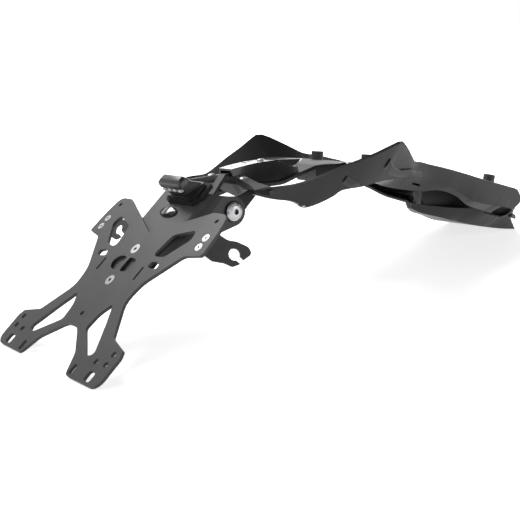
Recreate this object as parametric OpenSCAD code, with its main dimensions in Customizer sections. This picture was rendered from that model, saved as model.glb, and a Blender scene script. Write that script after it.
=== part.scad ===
// Tail tidy for a motorbike: a flat number plate bracket on a folded arm, which is clamped
// at two pivot bolts under the rear of a moulded undertray. Millimetres, +Z up, +Y to the
// front of the bike, ground at Z = 0, and X = 0 is the mirror plane.

/* [Number plate bracket] */
// Angle between the plate bracket and the ground
plate_tilt = 36; // [28:1:42]
// Sheet thickness of the plate bracket
plate_t = 3; // [2:0.5:4]
// Distance from the upper fixing screw down to the lower edge
foot_drop = 133.5; // [131:0.5:150]
// Distance between the two lower plate fixing holes
hole_spacing = 146; // [138:1:152]
// Diameter of the plate fixing holes
fixing_hole_d = 5.5; // [4.5:0.1:6.5]
// Width of the bracket across its ears
ear_width = 199; // [194:1:206]
// Height of the ears above the upper fixing screw
ear_height = 54; // [50:1:60]
// Width of the waist above the legs
waist_width = 93; // [86:1:100]

/* [Plate arm] */
// Sheet thickness of the folded arm
arm_t = 3; // [2:0.5:4]
// Width of the arm across its two cheeks
arm_width = 91; // [84:1:96]
// Outer bend radius between the arm's face and its cheeks
arm_bend_r = 14; // [8:1:18]
// Distance between the two screws that hold the plate
plate_screw_pitch = 37.5; // [30:0.5:42]
// Diameter of the plate screws
plate_screw_d = 6; // [4:1:6]
// Distance of the pivot up the plate from the upper fixing screw
pivot_up = 79.5; // [76:0.5:84]
// Distance of the pivot behind the plate's front face
pivot_depth = 30; // [27:0.5:34]
// Diameter of the pivot bolts
pivot_d = 8; // [6:1:10]
// Radius of the rounded cheek end round the pivot
cheek_r = 14; // [13:0.5:16]

/* [Indicator brackets] */
// Sheet thickness of the indicator brackets
hook_t = 2.5; // [2:0.5:3]
// Outward splay of a hook from the plate's square
hook_splay = 24; // [15:1:30]
// Diameter of the hole for the indicator stem
stem_hole_d = 10.5; // [8:0.5:11]
// Width of the slot that lets the indicator lead in
stem_slot_w = 5; // [4:0.5:6]
// Diameter of the indicator bracket screws
ear_screw_d = 4; // [3:1:5]

/* [Plate light] */
// Width of the light
light_w = 43; // [38:1:46]
// Height of the light's housing above its base
light_h = 26; // [24:1:30]
// Depth of the light along the plate
light_depth = 16; // [14:1:20]

/* [Undertray] */
// Wall thickness of the moulded undertray
tray_t = 3; // [2.5:0.5:4]
// Diameter of the mounting spacers
spacer_d = 13; // [12:0.5:16]
// Bore of the mounting spacers
spacer_bore = 6.5; // [5.5:0.1:8.5]
// Height of the rear spacers
rear_spacer_h = 9; // [6:0.5:14]
// Height of the front spacers
front_spacer_h = 18; // [14:0.5:22]
// Distance between the rear pair of spacers
rear_spacing = 79; // [70:1:90]
// Distance between the front pair of spacers
front_spacing = 100; // [84:1:110]
// Distance from the pivot forward to the rear spacers
rear_spacer_y = 179; // [174:1:186]
// Distance from the front spacers forward to the nose
front_spacer_inset = 49; // [47:1:60]
// Width of the wiring channel
channel_w = 21; // [18:1:24]
// Wall thickness of the wiring channel
channel_t = 2; // [1.5:0.5:2.5]

/* [Inner mudguard] */
// Wall thickness of the inner mudguard
guard_t = 2.5; // [2:0.5:3]
// Distance from the pivot forward to the nose of the mudguard
nose_reach = 401; // [396:1:410]

/* [Hidden] */

$fn = 48;
// Gap between pieces that turn against each other
play = 0.3;
// Extra radius of a hole over the bolt that it turns on
bore_play = 0.05;
// Extra radius of a hole over the screw that it only clears
screw_play = 0.25;
// Overlap of a cutting shape past the face that it cuts
cut = 1;
// Points on a quarter turn of a rounded corner
corner_steps = 5;

// Place of the upper fixing screw and of the pivot, from the ground and the middle of the length
pivot_dy = pivot_up * cos(plate_tilt) + pivot_depth * sin(plate_tilt);
pivot_dz = pivot_up * sin(plate_tilt) - pivot_depth * cos(plate_tilt);
plate_y = (foot_drop * cos(plate_tilt) - pivot_dy - nose_reach) / 2;
plate_z = foot_drop * sin(plate_tilt) + plate_t * cos(plate_tilt);
pivot_y = plate_y + pivot_dy;
pivot_z = plate_z + pivot_dz;

// Colours
powder_black = [0.10, 0.10, 0.105];
moulded_black = [0.07, 0.07, 0.075];
rubber_black = [0.03, 0.03, 0.03];
steel = [0.78, 0.78, 0.80];
zinc = [0.62, 0.63, 0.66];
clear_lens = [0.90, 0.93, 0.96];

function unit(v) = v / norm(v);
// Whole outline from its right half, whose corners are [x, y, radius]
function mirrored(half) = concat(half, [for (i = [len(half) - 1:-1:0])
    if (half[i][0] > 0) [-half[i][0], half[i][1], half[i][2]]]);

// Arc that replaces corner b of the line a, b, c, with radius r
function corner(a, b, c, r) =
    let (u = unit(a - b), w = unit(c - b), half = acos(max(-1, min(1, u * w))) / 2)
    half > 88 || r == 0 ? [b] :
    let (
        reach = min(r / tan(half), 0.49 * norm(a - b), 0.49 * norm(c - b)),
        true_r = reach * tan(half),
        centre = b + unit(u + w) * true_r / sin(half),
        first = b + u * reach - centre,
        last = b + w * reach - centre,
        start = atan2(first[1], first[0]),
        sweep = ((atan2(last[1], last[0]) - start + 540) % 360) - 180,
        steps = max(2, ceil(abs(sweep) / 90 * corner_steps))
    )
    [for (i = [0:steps]) let (a = start + sweep * i / steps) centre + true_r * [cos(a), sin(a)]];

// Closed outline from corners [x, y, radius]
function rounded(points) =
    let (n = len(points))
    [for (i = [0:n - 1])
        each corner(
            [points[(i + n - 1) % n][0], points[(i + n - 1) % n][1]],
            [points[i][0], points[i][1]],
            [points[(i + 1) % n][0], points[(i + 1) % n][1]],
            points[i][2])];

// Smooth value of column c at s on a rail, a list of rows that start with a rising s
function rail(rows, s, c) =
    let (
        last = len(rows) - 1,
        at = max([0, for (i = [0:last - 1]) if (rows[i][0] <= s) i]),
        a = rows[max(0, at - 1)], b = rows[at], d = rows[at + 1], e = rows[min(last, at + 2)],
        t = max(0, min(1, (s - b[0]) / (d[0] - b[0]))),
        span = d[0] - b[0],
        slope_b = (d[c] - a[c]) / (d[0] - a[0]) * span,
        slope_d = (e[c] - b[c]) / (e[0] - b[0]) * span
    )
    (2 * t * t * t - 3 * t * t + 1) * b[c] + (t * t * t - 2 * t * t + t) * slope_b
    + (3 * t * t - 2 * t * t * t) * d[c] + (t * t * t - t * t) * slope_d;

// Solid through rings with equal numbers of points, anticlockwise as seen from behind. A ring
// runs along one side of its section and back along the other.
module loft(rings) {
    n = len(rings[0]);
    m = len(rings);
    points = [for (ring = rings) each ring];
    sides = [for (i = [0:m - 2], j = [0:n - 1])
        let (a = i * n + j, b = i * n + (j + 1) % n)
        each [[a, b, b + n], [a, b + n, a + n]]];
    end = (m - 1) * n;
    caps = [for (j = [0:n / 2 - 2])
        each [[n - 1 - j, n - 2 - j, j + 1, j], [end + j, end + j + 1, end + n - 2 - j, end + n - 1 - j]]];
    polyhedron(points = points, faces = concat(sides, caps), convexity = 8);
}

// Frame of the plate: X across, Y up the plate, Z out of its front face
module on_plate() {
    translate([0, plate_y, plate_z]) rotate([plate_tilt, 0, 0]) children();
}

// Frame of the pivot, with Y forward and Z up
module at_pivot() {
    translate([0, pivot_y, pivot_z]) children();
}

module both_sides() {
    children();
    mirror([1, 0, 0]) children();
}

// Round hole at place p through a sheet of thickness t whose front face is at height face
module sheet_hole(p, face, t, d) {
    translate([p[0], p[1], face - t - cut]) cylinder(h = t + 2 * cut, d = d);
}

// Hole through the plate bracket for a countersunk screw
module sunk_hole(p, d, head_d) {
    head_h = (head_d - d) / 2;
    sheet_hole(p, 0, plate_t, d + 2 * screw_play);
    translate([p[0], p[1], -head_h]) cylinder(h = head_h, d1 = d, d2 = head_d);
}

module rod_x(x0, x1, r) {
    translate([x0, 0, 0]) rotate([0, 90, 0]) cylinder(h = x1 - x0, r = r);
}

// Hex nut standing up from its base
module nut(d, h) {
    difference() {
        cylinder(h = h, d = 1.95 * d, $fn = 6);
        translate([0, 0, -cut]) cylinder(h = h + 2 * cut, d = d + 2 * bore_play);
    }
}

// Countersunk screw with its flat head flush at Z = 0 and its shank pointing down
module flush_screw(d, head_d, length) {
    head_h = (head_d - d) / 2;
    difference() {
        union() {
            translate([0, 0, -head_h]) cylinder(h = head_h, d1 = d, d2 = head_d);
            translate([0, 0, -length]) cylinder(h = length - head_h, d = d);
        }
        translate([0, 0, -0.35 * d]) cylinder(h = d, d = 0.66 * d, $fn = 6);
    }
}

// Button head screw with its head standing on Z = 0 and its shank pointing down
module button_screw(d, length) {
    head_d = 1.75 * d;
    head_h = 0.55 * d;
    difference() {
        union() {
            rotate_extrude() intersection() {
                translate([0, head_h - 0.8 * head_d]) circle(r = 0.8 * head_d, $fn = 96);
                square([head_d / 2, head_h]);
            }
            translate([0, 0, -length]) cylinder(h = length + 0.1, d = d);
        }
        translate([0, 0, 0.25 * head_h]) cylinder(h = head_h, d = 0.62 * d, $fn = 6);
    }
}

// Places on the plate, [across, up]
foot_holes = [[hole_spacing / 2, -foot_drop + 21.5], [hole_spacing / 2 + 15, -foot_drop + 22.4],
    [hole_spacing / 2 + 15, -foot_drop + 33]];
ear_screws = [[ear_width / 2 - 12.7, 26.7], [ear_width / 2 - 12.7, 16.2]];
plate_screw_places = [[0, 0], [0, -plate_screw_pitch]];
screw_head_d = 1.8 * plate_screw_d;
ear_head_d = 1.95 * ear_screw_d;
centre_hole_up = -76.8;
centre_hole_d = 5;
reflector_hole_d = 4.5;

// Outline of the number plate bracket, clockwise from the notch at the top
ear_x = ear_width / 2;
waist_x = waist_width / 2;
foot_inner_x = hole_spacing / 2 - 27;
foot_outer_x = hole_spacing / 2 + 25.5;
bracket_half = [
    [0, 20.5, 3], [ear_x - 27.5, ear_height, 6], [ear_x - 7, ear_height, 9], [ear_x - 2, 34, 12],
    [ear_x, 8.5, 3], [ear_x - 22.5, 4.2, 12], [waist_x + 3.5, -32, 25], [waist_x, -53, 20],
    [foot_outer_x - 28, -foot_drop + 46, 5], [foot_outer_x - 3, -foot_drop + 39, 4],
    [foot_outer_x + 0.5, -foot_drop + 32, 6], [foot_outer_x, -foot_drop, 11],
    [foot_inner_x, -foot_drop, 7], [foot_inner_x - 10, -foot_drop + 21, 14],
    [14, -foot_drop + 39.5, 6], [8, -foot_drop + 43.2, 8]
];
leg_window = [
    [33.5, -58.5, 2], [46, -78, 40], [63, -foot_drop + 26, 6], [53, -foot_drop + 22.5, 2],
    [22.5, -foot_drop + 45, 5], [24.5, -72, 20]
];
ear_window = [
    [33.5, -3.2, 5], [51, -1.6, 7], [ear_x - 29.5, 22, 6], [ear_x - 33, 32.6, 4], [39, 22.4, 6]
];
hex_window = [
    [38.6, -14.6, 1], [40, -9.2, 1.5], [47, -7.6, 2], [53.6, -10.3, 1.5], [53.2, -14.8, 1.5], [46, -15.8, 2]
];
centre_window = [[2.5, -26.5, 3], [15, -25.5, 8], [20, -18, 6], [14, -10, 8], [2.5, -9.5, 3]];

module number_plate_bracket() {
    color(powder_black) on_plate() difference() {
        translate([0, 0, -plate_t]) linear_extrude(plate_t) difference() {
            polygon(rounded(mirrored(bracket_half)));
            both_sides() {
                polygon(rounded(leg_window));
                polygon(rounded(ear_window));
                polygon(rounded(hex_window));
                polygon(rounded(centre_window));
                tie_slot();
                translate([hole_spacing / 2 + 6.2, -foot_drop + 8]) polygon(rounded([
                    [-5, -5, 2.5], [-5, 5, 2.5], [5, 5, 2.5], [5, -5, 2.5]]));
            }
        }
        for (p = plate_screw_places) sunk_hole(p, plate_screw_d, screw_head_d);
        sheet_hole([0, centre_hole_up], 0, plate_t, centre_hole_d);
        both_sides() {
            for (p = foot_holes) sheet_hole(p, 0, plate_t, fixing_hole_d);
            foot_slot();
            sheet_hole([ear_x - 15.5, 45.3], 0, plate_t, reflector_hole_d);
            for (p = ear_screws) sunk_hole(p, ear_screw_d, ear_head_d);
        }
    }
}

// Narrow upright slot beside the waist for a cable tie
module tie_slot() {
    w = 2.6;
    low = [34, -30];
    high = [34, -17.5];
    for (p = [low, high]) translate(p) circle(d = w);
    translate([low[0] - w / 2, low[1]]) square([w, high[1] - low[1]]);
}

// Upright slot by a foot's inner edge
module foot_slot() {
    half = 2.7;
    translate([hole_spacing / 2 - 22.5, -foot_drop + 7.5, -plate_t - cut]) {
        for (dy = [-half, half]) translate([0, dy, 0]) cylinder(h = plate_t + 2 * cut, d = fixing_hole_d);
        translate([-fixing_hole_d / 2, -half, 0]) cube([fixing_hole_d, 2 * half, plate_t + 2 * cut]);
    }
}

// Front view of the arm, [across, up the plate]
arm_x = arm_width / 2;
arm_half = [
    [0, pivot_up + 1.5, 0], [arm_x - 20, pivot_up + 1, 10], [arm_x + cut, pivot_up + 20, 0],
    [arm_x + cut, 3, 4], [arm_x - 5.5, -13, 6], [arm_x - 9.5, -25, 6], [25, -plate_screw_pitch + 2, 12],
    [23, -plate_screw_pitch - 12, 8]
];
// Side view of a cheek, [up the plate, out of the plate]
cheek_side = [
    [-plate_screw_pitch - 20, -plate_t + cut, 0], [pivot_up - 4, -plate_t + cut, 0],
    [pivot_up + 1.5, -plate_t - 7.5, 6], [pivot_up + cheek_r * 0.93, -pivot_depth + cheek_r * 0.40, 0],
    [pivot_up + cheek_r * 0.2, -pivot_depth, 0],
    [pivot_up - cheek_r * 0.52, -pivot_depth - cheek_r * 0.854, 0],
    [pivot_up - 25, -pivot_depth - 3, 30], [-2, -plate_t - arm_t, 20],
    [-plate_screw_pitch - 20, -plate_t - arm_t, 0]
];

// U section of the folded sheet, seen along the plate
module arm_section(w, r) {
    depth = pivot_depth + 2 * cheek_r;
    outline = [[w, -depth, 0], [w, 0, r], [-w, 0, r], [-w, -depth, 0]];
    polygon(rounded(outline));
}

module plate_arm() {
    color(powder_black) on_plate() difference() {
        intersection() {
            translate([0, -plate_screw_pitch - 20, -plate_t]) rotate([-90, 0, 0]) mirror([0, 1, 0])
                linear_extrude(pivot_up + plate_screw_pitch + 40) difference() {
                    arm_section(arm_x, arm_bend_r);
                    translate([0, -arm_t]) arm_section(arm_x - arm_t, arm_bend_r - arm_t);
                }
            translate([0, 0, -pivot_depth - 3 * cheek_r]) linear_extrude(pivot_depth + 3 * cheek_r)
                polygon(rounded(mirrored(arm_half)));
            translate([-arm_x, 0, 0]) rotate([90, 0, 90]) linear_extrude(arm_width) union() {
                polygon(rounded(cheek_side));
                translate([pivot_up, -pivot_depth]) circle(r = cheek_r);
            }
        }
        translate([0, pivot_up, -pivot_depth]) rod_x(-arm_x - cut, arm_x + cut, pivot_d / 2 + bore_play);
        for (p = plate_screw_places) sheet_hole(p, -plate_t, arm_t, plate_screw_d + 2 * screw_play);
        translate([0, plug_up, 0]) oval(plug_hole, -plate_t - arm_t - cut, -plate_t + cut);
        for (x = light_screw_x * [-1, 1])
            sheet_hole([light_x + x, light_up], -plate_t, arm_t, light_screw_d + 2 * screw_play);
    }
}

module plate_screws() {
    color(steel) on_plate() for (p = plate_screw_places) translate([p[0], p[1], 0])
        flush_screw(plate_screw_d, screw_head_d, plate_t + arm_t + 0.9 * plate_screw_d);
}

module plate_nuts() {
    nut_h = 0.8 * plate_screw_d;
    color(zinc) on_plate() for (p = plate_screw_places)
        translate([p[0], p[1], -plate_t - arm_t - nut_h]) nut(plate_screw_d, nut_h);
}

// Outline of an indicator hook, [back from the plate, up the plate]
hook_side = [
    [-3, 35, 0], [11, 37, 5], [17.8, 41.2, 6], [28.7, 44.6, 6], [35.2, 42, 4], [33, 34, 0],
    [32, 27, 1], [28.9, 21.5, 5], [21, 19.2, 8], [11.5, 13.5, 6], [-3, 12.5, 0]
];
// Outline of the flange behind the ear, [across, up the plate]
hook_x = ear_x - 7.5;
hook_flange = [
    [hook_x - 16, 11, 3], [hook_x - 16, 33, 4], [hook_x - 5, 36, 4], [hook_x, 36, 0], [hook_x, 11, 0]
];
stem_up = 31;
stem_back = 23.1;

// Frame of the right hook: X out of its outer face, Y up the plate, Z forward to the plate
module at_hook() {
    translate([hook_x, 0, -plate_t]) rotate([0, -hook_splay, 0]) children();
}

module hook_right() {
    on_plate() difference() {
        union() {
            translate([0, 0, -plate_t - hook_t]) linear_extrude(hook_t) polygon(rounded(hook_flange));
            intersection() {
                at_hook() translate([-hook_t, 0, 0]) rotate([0, 90, 0]) linear_extrude(hook_t)
                    polygon(rounded(hook_side));
                translate([0, 0, -plate_t - 60]) cube([2 * ear_x, 60, 60]);
            }
        }
        at_hook() {
            translate([0, stem_up, -stem_back]) rod_x(-hook_t - cut, cut, stem_hole_d / 2);
            translate([-hook_t - cut, stem_up - stem_slot_w / 2 - 0.6, -stem_back - 20])
                cube([hook_t + 2 * cut, stem_slot_w, 20]);
        }
        for (p = ear_screws) sheet_hole(p, -plate_t, hook_t, ear_screw_d + 2 * screw_play);
    }
}

module indicator_bracket_right() {
    color(powder_black) hook_right();
}

module indicator_bracket_left() {
    color(powder_black) mirror([1, 0, 0]) hook_right();
}

module indicator_screws() {
    color(steel) on_plate() both_sides() for (p = ear_screws) translate([p[0], p[1], 0])
        flush_screw(ear_screw_d, ear_head_d, plate_t + hook_t + ear_screw_d);
}

module indicator_nuts() {
    nut_h = 0.8 * ear_screw_d;
    color(zinc) on_plate() both_sides() for (p = ear_screws)
        translate([p[0], p[1], -plate_t - hook_t - nut_h]) rotate(30) nut(ear_screw_d, nut_h);
}

// Domed oval plug in its rubber ring, in a hole of the arm's face
plug_up = 48;
plug_size = [22, 9];
plug_wall = 1.5;
plug_hole = plug_size + [plug_wall, plug_wall];
ring_size = plug_hole + [3.5, 2];

// Oval plate from height low up to height high
module oval(size, low, high) {
    translate([0, 0, low]) linear_extrude(high - low)
        polygon([for (a = [0:7.5:352.5]) [size[0] / 2 * cos(a), size[1] / 2 * sin(a)]]);
}

module plug_ring() {
    ring_h = 1;
    color(rubber_black) on_plate() translate([0, plug_up, -plate_t]) difference() {
        union() {
            oval(ring_size, 0.05, ring_h);
            oval(plug_hole - [0.2, 0.2], -arm_t - ring_h, ring_h);
            oval(ring_size, -arm_t - ring_h, -arm_t - 0.05);
        }
        oval(plug_size - [plug_wall, plug_wall], -arm_t - ring_h - cut, ring_h + cut);
        oval(plug_size, 0, ring_h + cut);
    }
}

module cover_plug() {
    dome_r = 30;
    dome_h = 2.8;
    color(powder_black) on_plate() translate([0, plug_up, -plate_t]) {
        intersection() {
            translate([0, 0, dome_h - dome_r]) sphere(r = dome_r, $fn = 96);
            oval(plug_size - [0.1, 0.1], 0.05, dome_h + cut);
        }
        oval(plug_size - [plug_wall + 0.1, plug_wall + 0.1], -arm_t - 1, 0.2);
    }
}

// Plate light: side view of the housing, [up the plate, out of the plate]
light_x = 8;
light_up = 70;
light_screw_d = 4;
light_screw_x = 12;
base_h = 7;
base_rim_h = 4;
light_low = light_up - light_depth / 2;
light_high = light_up + light_depth / 2;
light_top = light_h - plate_t;
light_foot = base_h - plate_t;
// Outline of the light's foot, [across from its middle, up the plate], bigger by grow
function foot_outline(grow) =
    let (front = light_low - 2 - grow / 3, back = light_high + 4 + grow, narrow = 17 + grow, wide = 24.5 + grow)
    [[-narrow, front, 2], [-wide, light_low + 6, 3], [-wide, back, 3],
        [wide, back, 3], [wide, light_low + 6, 3], [narrow, front, 2]];
function light_side(inset) = [
    [light_low + inset, light_foot, 0], [light_low + 2 + inset, light_foot + 5, 1],
    [light_low - 0.5 + inset, light_top - 10.5, 1], [light_low + 3 + inset, light_top - 8, 0.5],
    [light_low + 3.5 + inset, light_top - 3.5, 2], [light_low + 8 + inset / 2, light_top - inset, 3],
    [light_high - 2 - inset / 2, light_top - inset, 4], [light_high + 2 - inset, light_top - 12, 10],
    [light_high + 2 - inset, light_foot, 0]
];
groove_depth = 2.6;
prism_n = 4;
prism_pitch = 0.8 * light_w / prism_n;

module light_slab(w) {
    translate([light_x - w / 2, 0, 0]) rotate([90, 0, 90]) linear_extrude(w) children();
}

module light_housing() {
    color(moulded_black) on_plate() difference() {
        union() {
            light_slab(light_w - 4) polygon(rounded(light_side(0)));
            light_slab(light_w - 1.5) polygon(rounded(light_side(0.5)));
            light_slab(light_w) polygon(rounded(light_side(1.2)));
        }
        for (z = [1.5, 4.5, 7.5]) light_slab(light_w - 9)
            translate([light_low - cut, light_foot + z]) square([groove_depth + cut, 1.3]);
        translate([light_x, light_low, light_top - 10])
            for (i = [0:prism_n - 1]) translate([(i - (prism_n - 1) / 2) * prism_pitch, 0, 0])
                translate([-prism_pitch * 0.37, -3, -1.9]) cube([prism_pitch * 0.74, 7, 3.8]);
        for (x = [-1, 1]) translate([light_x + x * light_screw_x, light_up, light_foot - cut])
            cylinder(h = 8 + cut, d = light_screw_d + 2 * bore_play);
    }
}

module light_lens() {
    lens_w = prism_pitch * 0.74 - 0.1;
    color(clear_lens) on_plate() translate([light_x, light_low, light_top - 10])
        for (i = [0:prism_n - 1]) translate([(i - (prism_n - 1) / 2) * prism_pitch - lens_w / 2, 0, 0])
            rotate([90, 0, 90]) linear_extrude(lens_w)
                polygon([[-1.6, -1.8], [3.9, -1.8], [3.9, 1.8], [0, 1.8], [-1.8, 0.2]]);
}

module light_base() {
    color(rubber_black) on_plate() difference() {
        translate([light_x, 0, -plate_t]) {
            linear_extrude(base_rim_h) polygon(rounded(foot_outline(3.5)));
            linear_extrude(base_h) polygon(rounded(foot_outline(0)));
        }
        for (x = [-1, 1]) translate([light_x + x * light_screw_x, light_up, -plate_t - cut])
            cylinder(h = base_h + 2 * cut, d = light_screw_d + 2 * screw_play);
    }
}

module light_screws() {
    reach = arm_t + base_h + 7;
    color(zinc) on_plate() for (x = [-1, 1])
        translate([light_x + x * light_screw_x, light_up, -plate_t - arm_t]) mirror([0, 0, 1])
            button_screw(light_screw_d, reach);
}

// Pivot: a threaded tube between the hanger's lugs takes one bolt from each side
lug_x = arm_x - arm_t - play;
lug_t = 3;
washer_t = 1.2;
tube_r = pivot_d / 2 + 4;
bolt_head_d = 2.2 * pivot_d;
bolt_head_h = 4.2;
bolt_reach = 22;

module pivot_tube() {
    color(powder_black) at_pivot() difference() {
        rod_x(-lug_x + lug_t, lug_x - lug_t, tube_r);
        rod_x(-lug_x, lug_x, pivot_d / 2 + bore_play);
    }
}

module pivot_bolt() {
    head_x = arm_x + washer_t;
    head_r = bolt_head_d / 2;
    difference() {
        union() {
            rod_x(head_x - bolt_reach, head_x + 0.1, pivot_d / 2);
            translate([head_x, 0, 0]) rotate([0, 90, 0]) rotate_extrude() polygon([
                [0, 0], [head_r, 0], [head_r, 1.2], [head_r - 1.2, 2.8], [head_r - 3.4, bolt_head_h - 0.3],
                [head_r - 4.4, bolt_head_h], [0, bolt_head_h]]);
        }
        translate([head_x + 1, 0, 0]) rotate([0, 90, 0])
            cylinder(h = bolt_head_h, d = 0.72 * pivot_d, $fn = 6);
    }
}

module pivot_bolt_right() {
    color(steel) at_pivot() pivot_bolt();
}

module pivot_bolt_left() {
    color(steel) at_pivot() mirror([1, 0, 0]) pivot_bolt();
}

module pivot_washer() {
    difference() {
        rod_x(arm_x + 0.02, arm_x + washer_t, bolt_head_d / 2 + 0.8);
        rod_x(arm_x - cut, arm_x + washer_t + cut, pivot_d / 2 + 0.2);
    }
}

module pivot_washer_right() {
    color(rubber_black) at_pivot() pivot_washer();
}

module pivot_washer_left() {
    color(rubber_black) at_pivot() mirror([1, 0, 0]) pivot_washer();
}

// Rear bar of the undertray and the hanger's flange under it: both fall from the middle to the
// ends and bow forward in the middle
bar_w = 10.5;
bar_t = 4;
bar_top = 25.4;
bar_flat_x = 16;
bar_end_x = 75;
bar_slope = 8.5;
flange_t = 3;
flange_x = lug_x + 4.8;
hanger_hole_x = 27;
function bar_h(x) = bar_top - max(0, abs(x) - bar_flat_x) * tan(bar_slope);
bar_rear = [[73, 34 - bar_w], [60, 17], [45, 22], [bar_flat_x, 27.5]];
hanger_hole_y = 29;
hanger_screw_d = 4;

module forward_slab(y, w) {
    translate([0, y + w, 0]) rotate([90, 0, 0]) linear_extrude(w) children();
}

// Layer of the bar, top and bottom measured from the bar's top face, out to half width x
module bar_layer(x, top, bottom) {
    xs = [-x, -bar_flat_x, bar_flat_x, x];
    intersection() {
        forward_slab(10, 40) polygon(concat([for (p = xs) [p, bar_h(p) + top]],
            [for (i = [3:-1:0]) [xs[i], bar_h(xs[i]) + bottom]]));
        linear_extrude(60) polygon(concat(
            [for (p = bar_rear) [-p[0], p[1]]], [for (i = [3:-1:0]) bar_rear[i]],
            [[73, 34], [45, 22 + bar_w], [bar_flat_x, 27.5 + bar_w]],
            [[-bar_flat_x, 27.5 + bar_w], [-45, 22 + bar_w], [-73, 34]]));
    }
}

// Frames of the hanger's screws, on the sloping top of the bar
module at_hanger_screws() {
    both_sides() translate([hanger_hole_x, hanger_hole_y, bar_h(hanger_hole_x)])
        rotate([0, bar_slope, 0]) children();
}

// Ring of a V plate at y, with its ends at half width x and height h, and its middle at height keel
function vee_ring(y, x, h, keel, thick) = [
    [-x, y, h], [0, y, keel], [x, y, h], [x, y, h + thick], [0, y, keel + thick], [-x, y, h + thick]
];

module hanger_bracket() {
    under = -bar_t - flange_t;
    lug_top = bar_h(lug_x) + under + flange_t / 2;
    color(powder_black) at_pivot() difference() {
        union() {
            difference() {
                bar_layer(flange_x, -bar_t, under);
                hanger_screw_holes();
            }
            loft([vee_ring(33, 40, bar_h(40) + under - 0.5, bar_top + under - 0.5, flange_t),
                vee_ring(42.5, 31, 12, -0.4, flange_t), vee_ring(58, 14, 6.4, 5, 2.2)]);
            both_sides() translate([lug_x - lug_t, 0, 0]) rotate([90, 0, 90]) linear_extrude(lug_t) {
                circle(r = 12);
                polygon([[-2, 8], [2, 11], [23, lug_top], [31, lug_top], [33, 11], [8, -8], [-2, -8]]);
            }
        }
        rod_x(-lug_x - cut, lug_x + cut, pivot_d / 2 + bore_play);
    }
}

module hanger_screw_holes() {
    at_hanger_screws() translate([0, 0, -20]) cylinder(h = 30, d = hanger_screw_d + 2 * screw_play);
}

module hanger_screws() {
    nut_top = -(bar_t + flange_t) * cos(bar_slope);
    color(zinc) at_pivot() at_hanger_screws() {
        button_screw(hanger_screw_d, hanger_screw_d + 1 - nut_top);
        translate([0, 0, nut_top - 3.2]) nut(hanger_screw_d, 3.2);
    }
}

// Strap between the pivot tube and the mouth of the channel, side view [forward, up]
strap_w = 10;
strap_t = 2.5;

module tie_strap() {
    top = bar_top + strap_t;
    color(powder_black) at_pivot() translate([-strap_w / 2, 0, 0]) rotate([90, 0, 90])
        linear_extrude(strap_w) difference() {
            polygon([[1, 0], [25.2, bar_top], [44, bar_top], [44, top], [23.9, top], [-2, 3]]);
            circle(r = tube_r + 0.02);
        }
}

// Rails of the undertray: [forward of the pivot, half width, height]
edge_rail = [
    [16, 61, 18.3], [24, 71, 18.4], [34, 76, 18.2], [55, 77.5, 17.8], [75, 86, 21.5], [95, 94, 26.6],
    [124, 105, 33], [146, 112.4, 39.4], [156, 114.4, 41.6], [164, 110.5, 39], [184, 98, 25.2],
    [196, 90, 16.2], [202, 86.5, 13.6], [212, 85, 11.6], [226, 84, 6.5], [253, 85.5, -3.5],
    [300, 85, -21.5], [365, 84, -46], [392, 84, -56]
];
fold_rail = [
    [16, 60.5, 14], [24, 66, 10.2], [34, 70, 6.5], [50, 72.5, 2], [60, 74, -4.6], [66, 74.5, -5.4],
    [80, 76.5, -3.6], [95, 80, 0], [103, 83, 3.2], [124, 86, 2.6], [156, 87, 3], [187, 84.5, -0.5],
    [203, 83.3, -3.5],
    [226, 81, -8], [253, 79, -20], [279, 75.5, -34.5], [290, 75, -41.5], [302, 75.5, -48], [324, 76, -56],
    [344, 76, -62], [367, 76, -69], [392, 76, -78]
];
hem_rail = [
    [16, 56.5, 13.6], [24, 62, 9.8], [34, 66, 6.1], [50, 68.5, 1.6], [60, 70, -5], [66, 70.5, -5.8],
    [80, 72.5, -4], [95, 76, -0.4], [103, 79, 2.8], [124, 81.5, 1.9], [150, 81, 1.6], [156, 76, -1.5],
    [183, 73, -11],
    [217, 72, -20.2], [252, 72, -26.4], [279, 70, -38.6], [290, 67, -46], [302, 64.5, -53.5],
    [324, 63.5, -63],
    [344, 63.5, -71], [367, 63.5, -79.5], [392, 63.5, -89]
];
deck_rail = [
    [62, 10.2], [80, 12.5], [110, 16], [131, 19], [154, 18], [179, 13.8], [197, 9.5], [226, 0.5],
    [253, -9.5], [300, -27.5], [365, -52], [392, -62]
];
spine_rail = [[26, 21.5], [41, 17], [59, 13.4], [75, 11.4], [88, 11.2], [108, 15.4], [131, 19]];
tray_start = 16;
tray_end = 392;
tray_steps = 52;
tray_ys = [for (i = [0:tray_steps]) tray_start + (tray_end - tray_start) * i / tray_steps];
// The front of the tray stretches with the nose: a rail's distance s is drawn at along(s)
rigid_end = 226;
rail_nose = 401;
stretch = (nose_reach - rigid_end) / (rail_nose - rigid_end);
function along(s) = s < rigid_end ? s : rigid_end + (s - rigid_end) * stretch;
function on_rail(y) = y < rigid_end ? y : rigid_end + (y - rigid_end) / stretch;

function tray_wall(s) = [
    [rail(edge_rail, s, 1), rail(edge_rail, s, 2)],
    [rail(fold_rail, s, 1), rail(fold_rail, s, 2)],
    [rail(hem_rail, s, 1), rail(hem_rail, s, 2)]
];
function inward(a, b) = let (d = unit(b - a)) [d[1], -d[0]];
// Closed wall section at s: inner line down, outer line back up
function wall_ring(s) =
    let (
        w = tray_wall(s), n0 = inward(w[0], w[1]), n1 = inward(w[1], w[2]),
        bend = (n0 + n1) / (1 + max(0.2, n0 * n1)),
        line = [w[0] + tray_t * n0, w[1] + tray_t * bend, w[2] + tray_t * n1, w[2], w[1], w[0]]
    )
    [for (p = line) [p[0], along(s), p[1]]];
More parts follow.
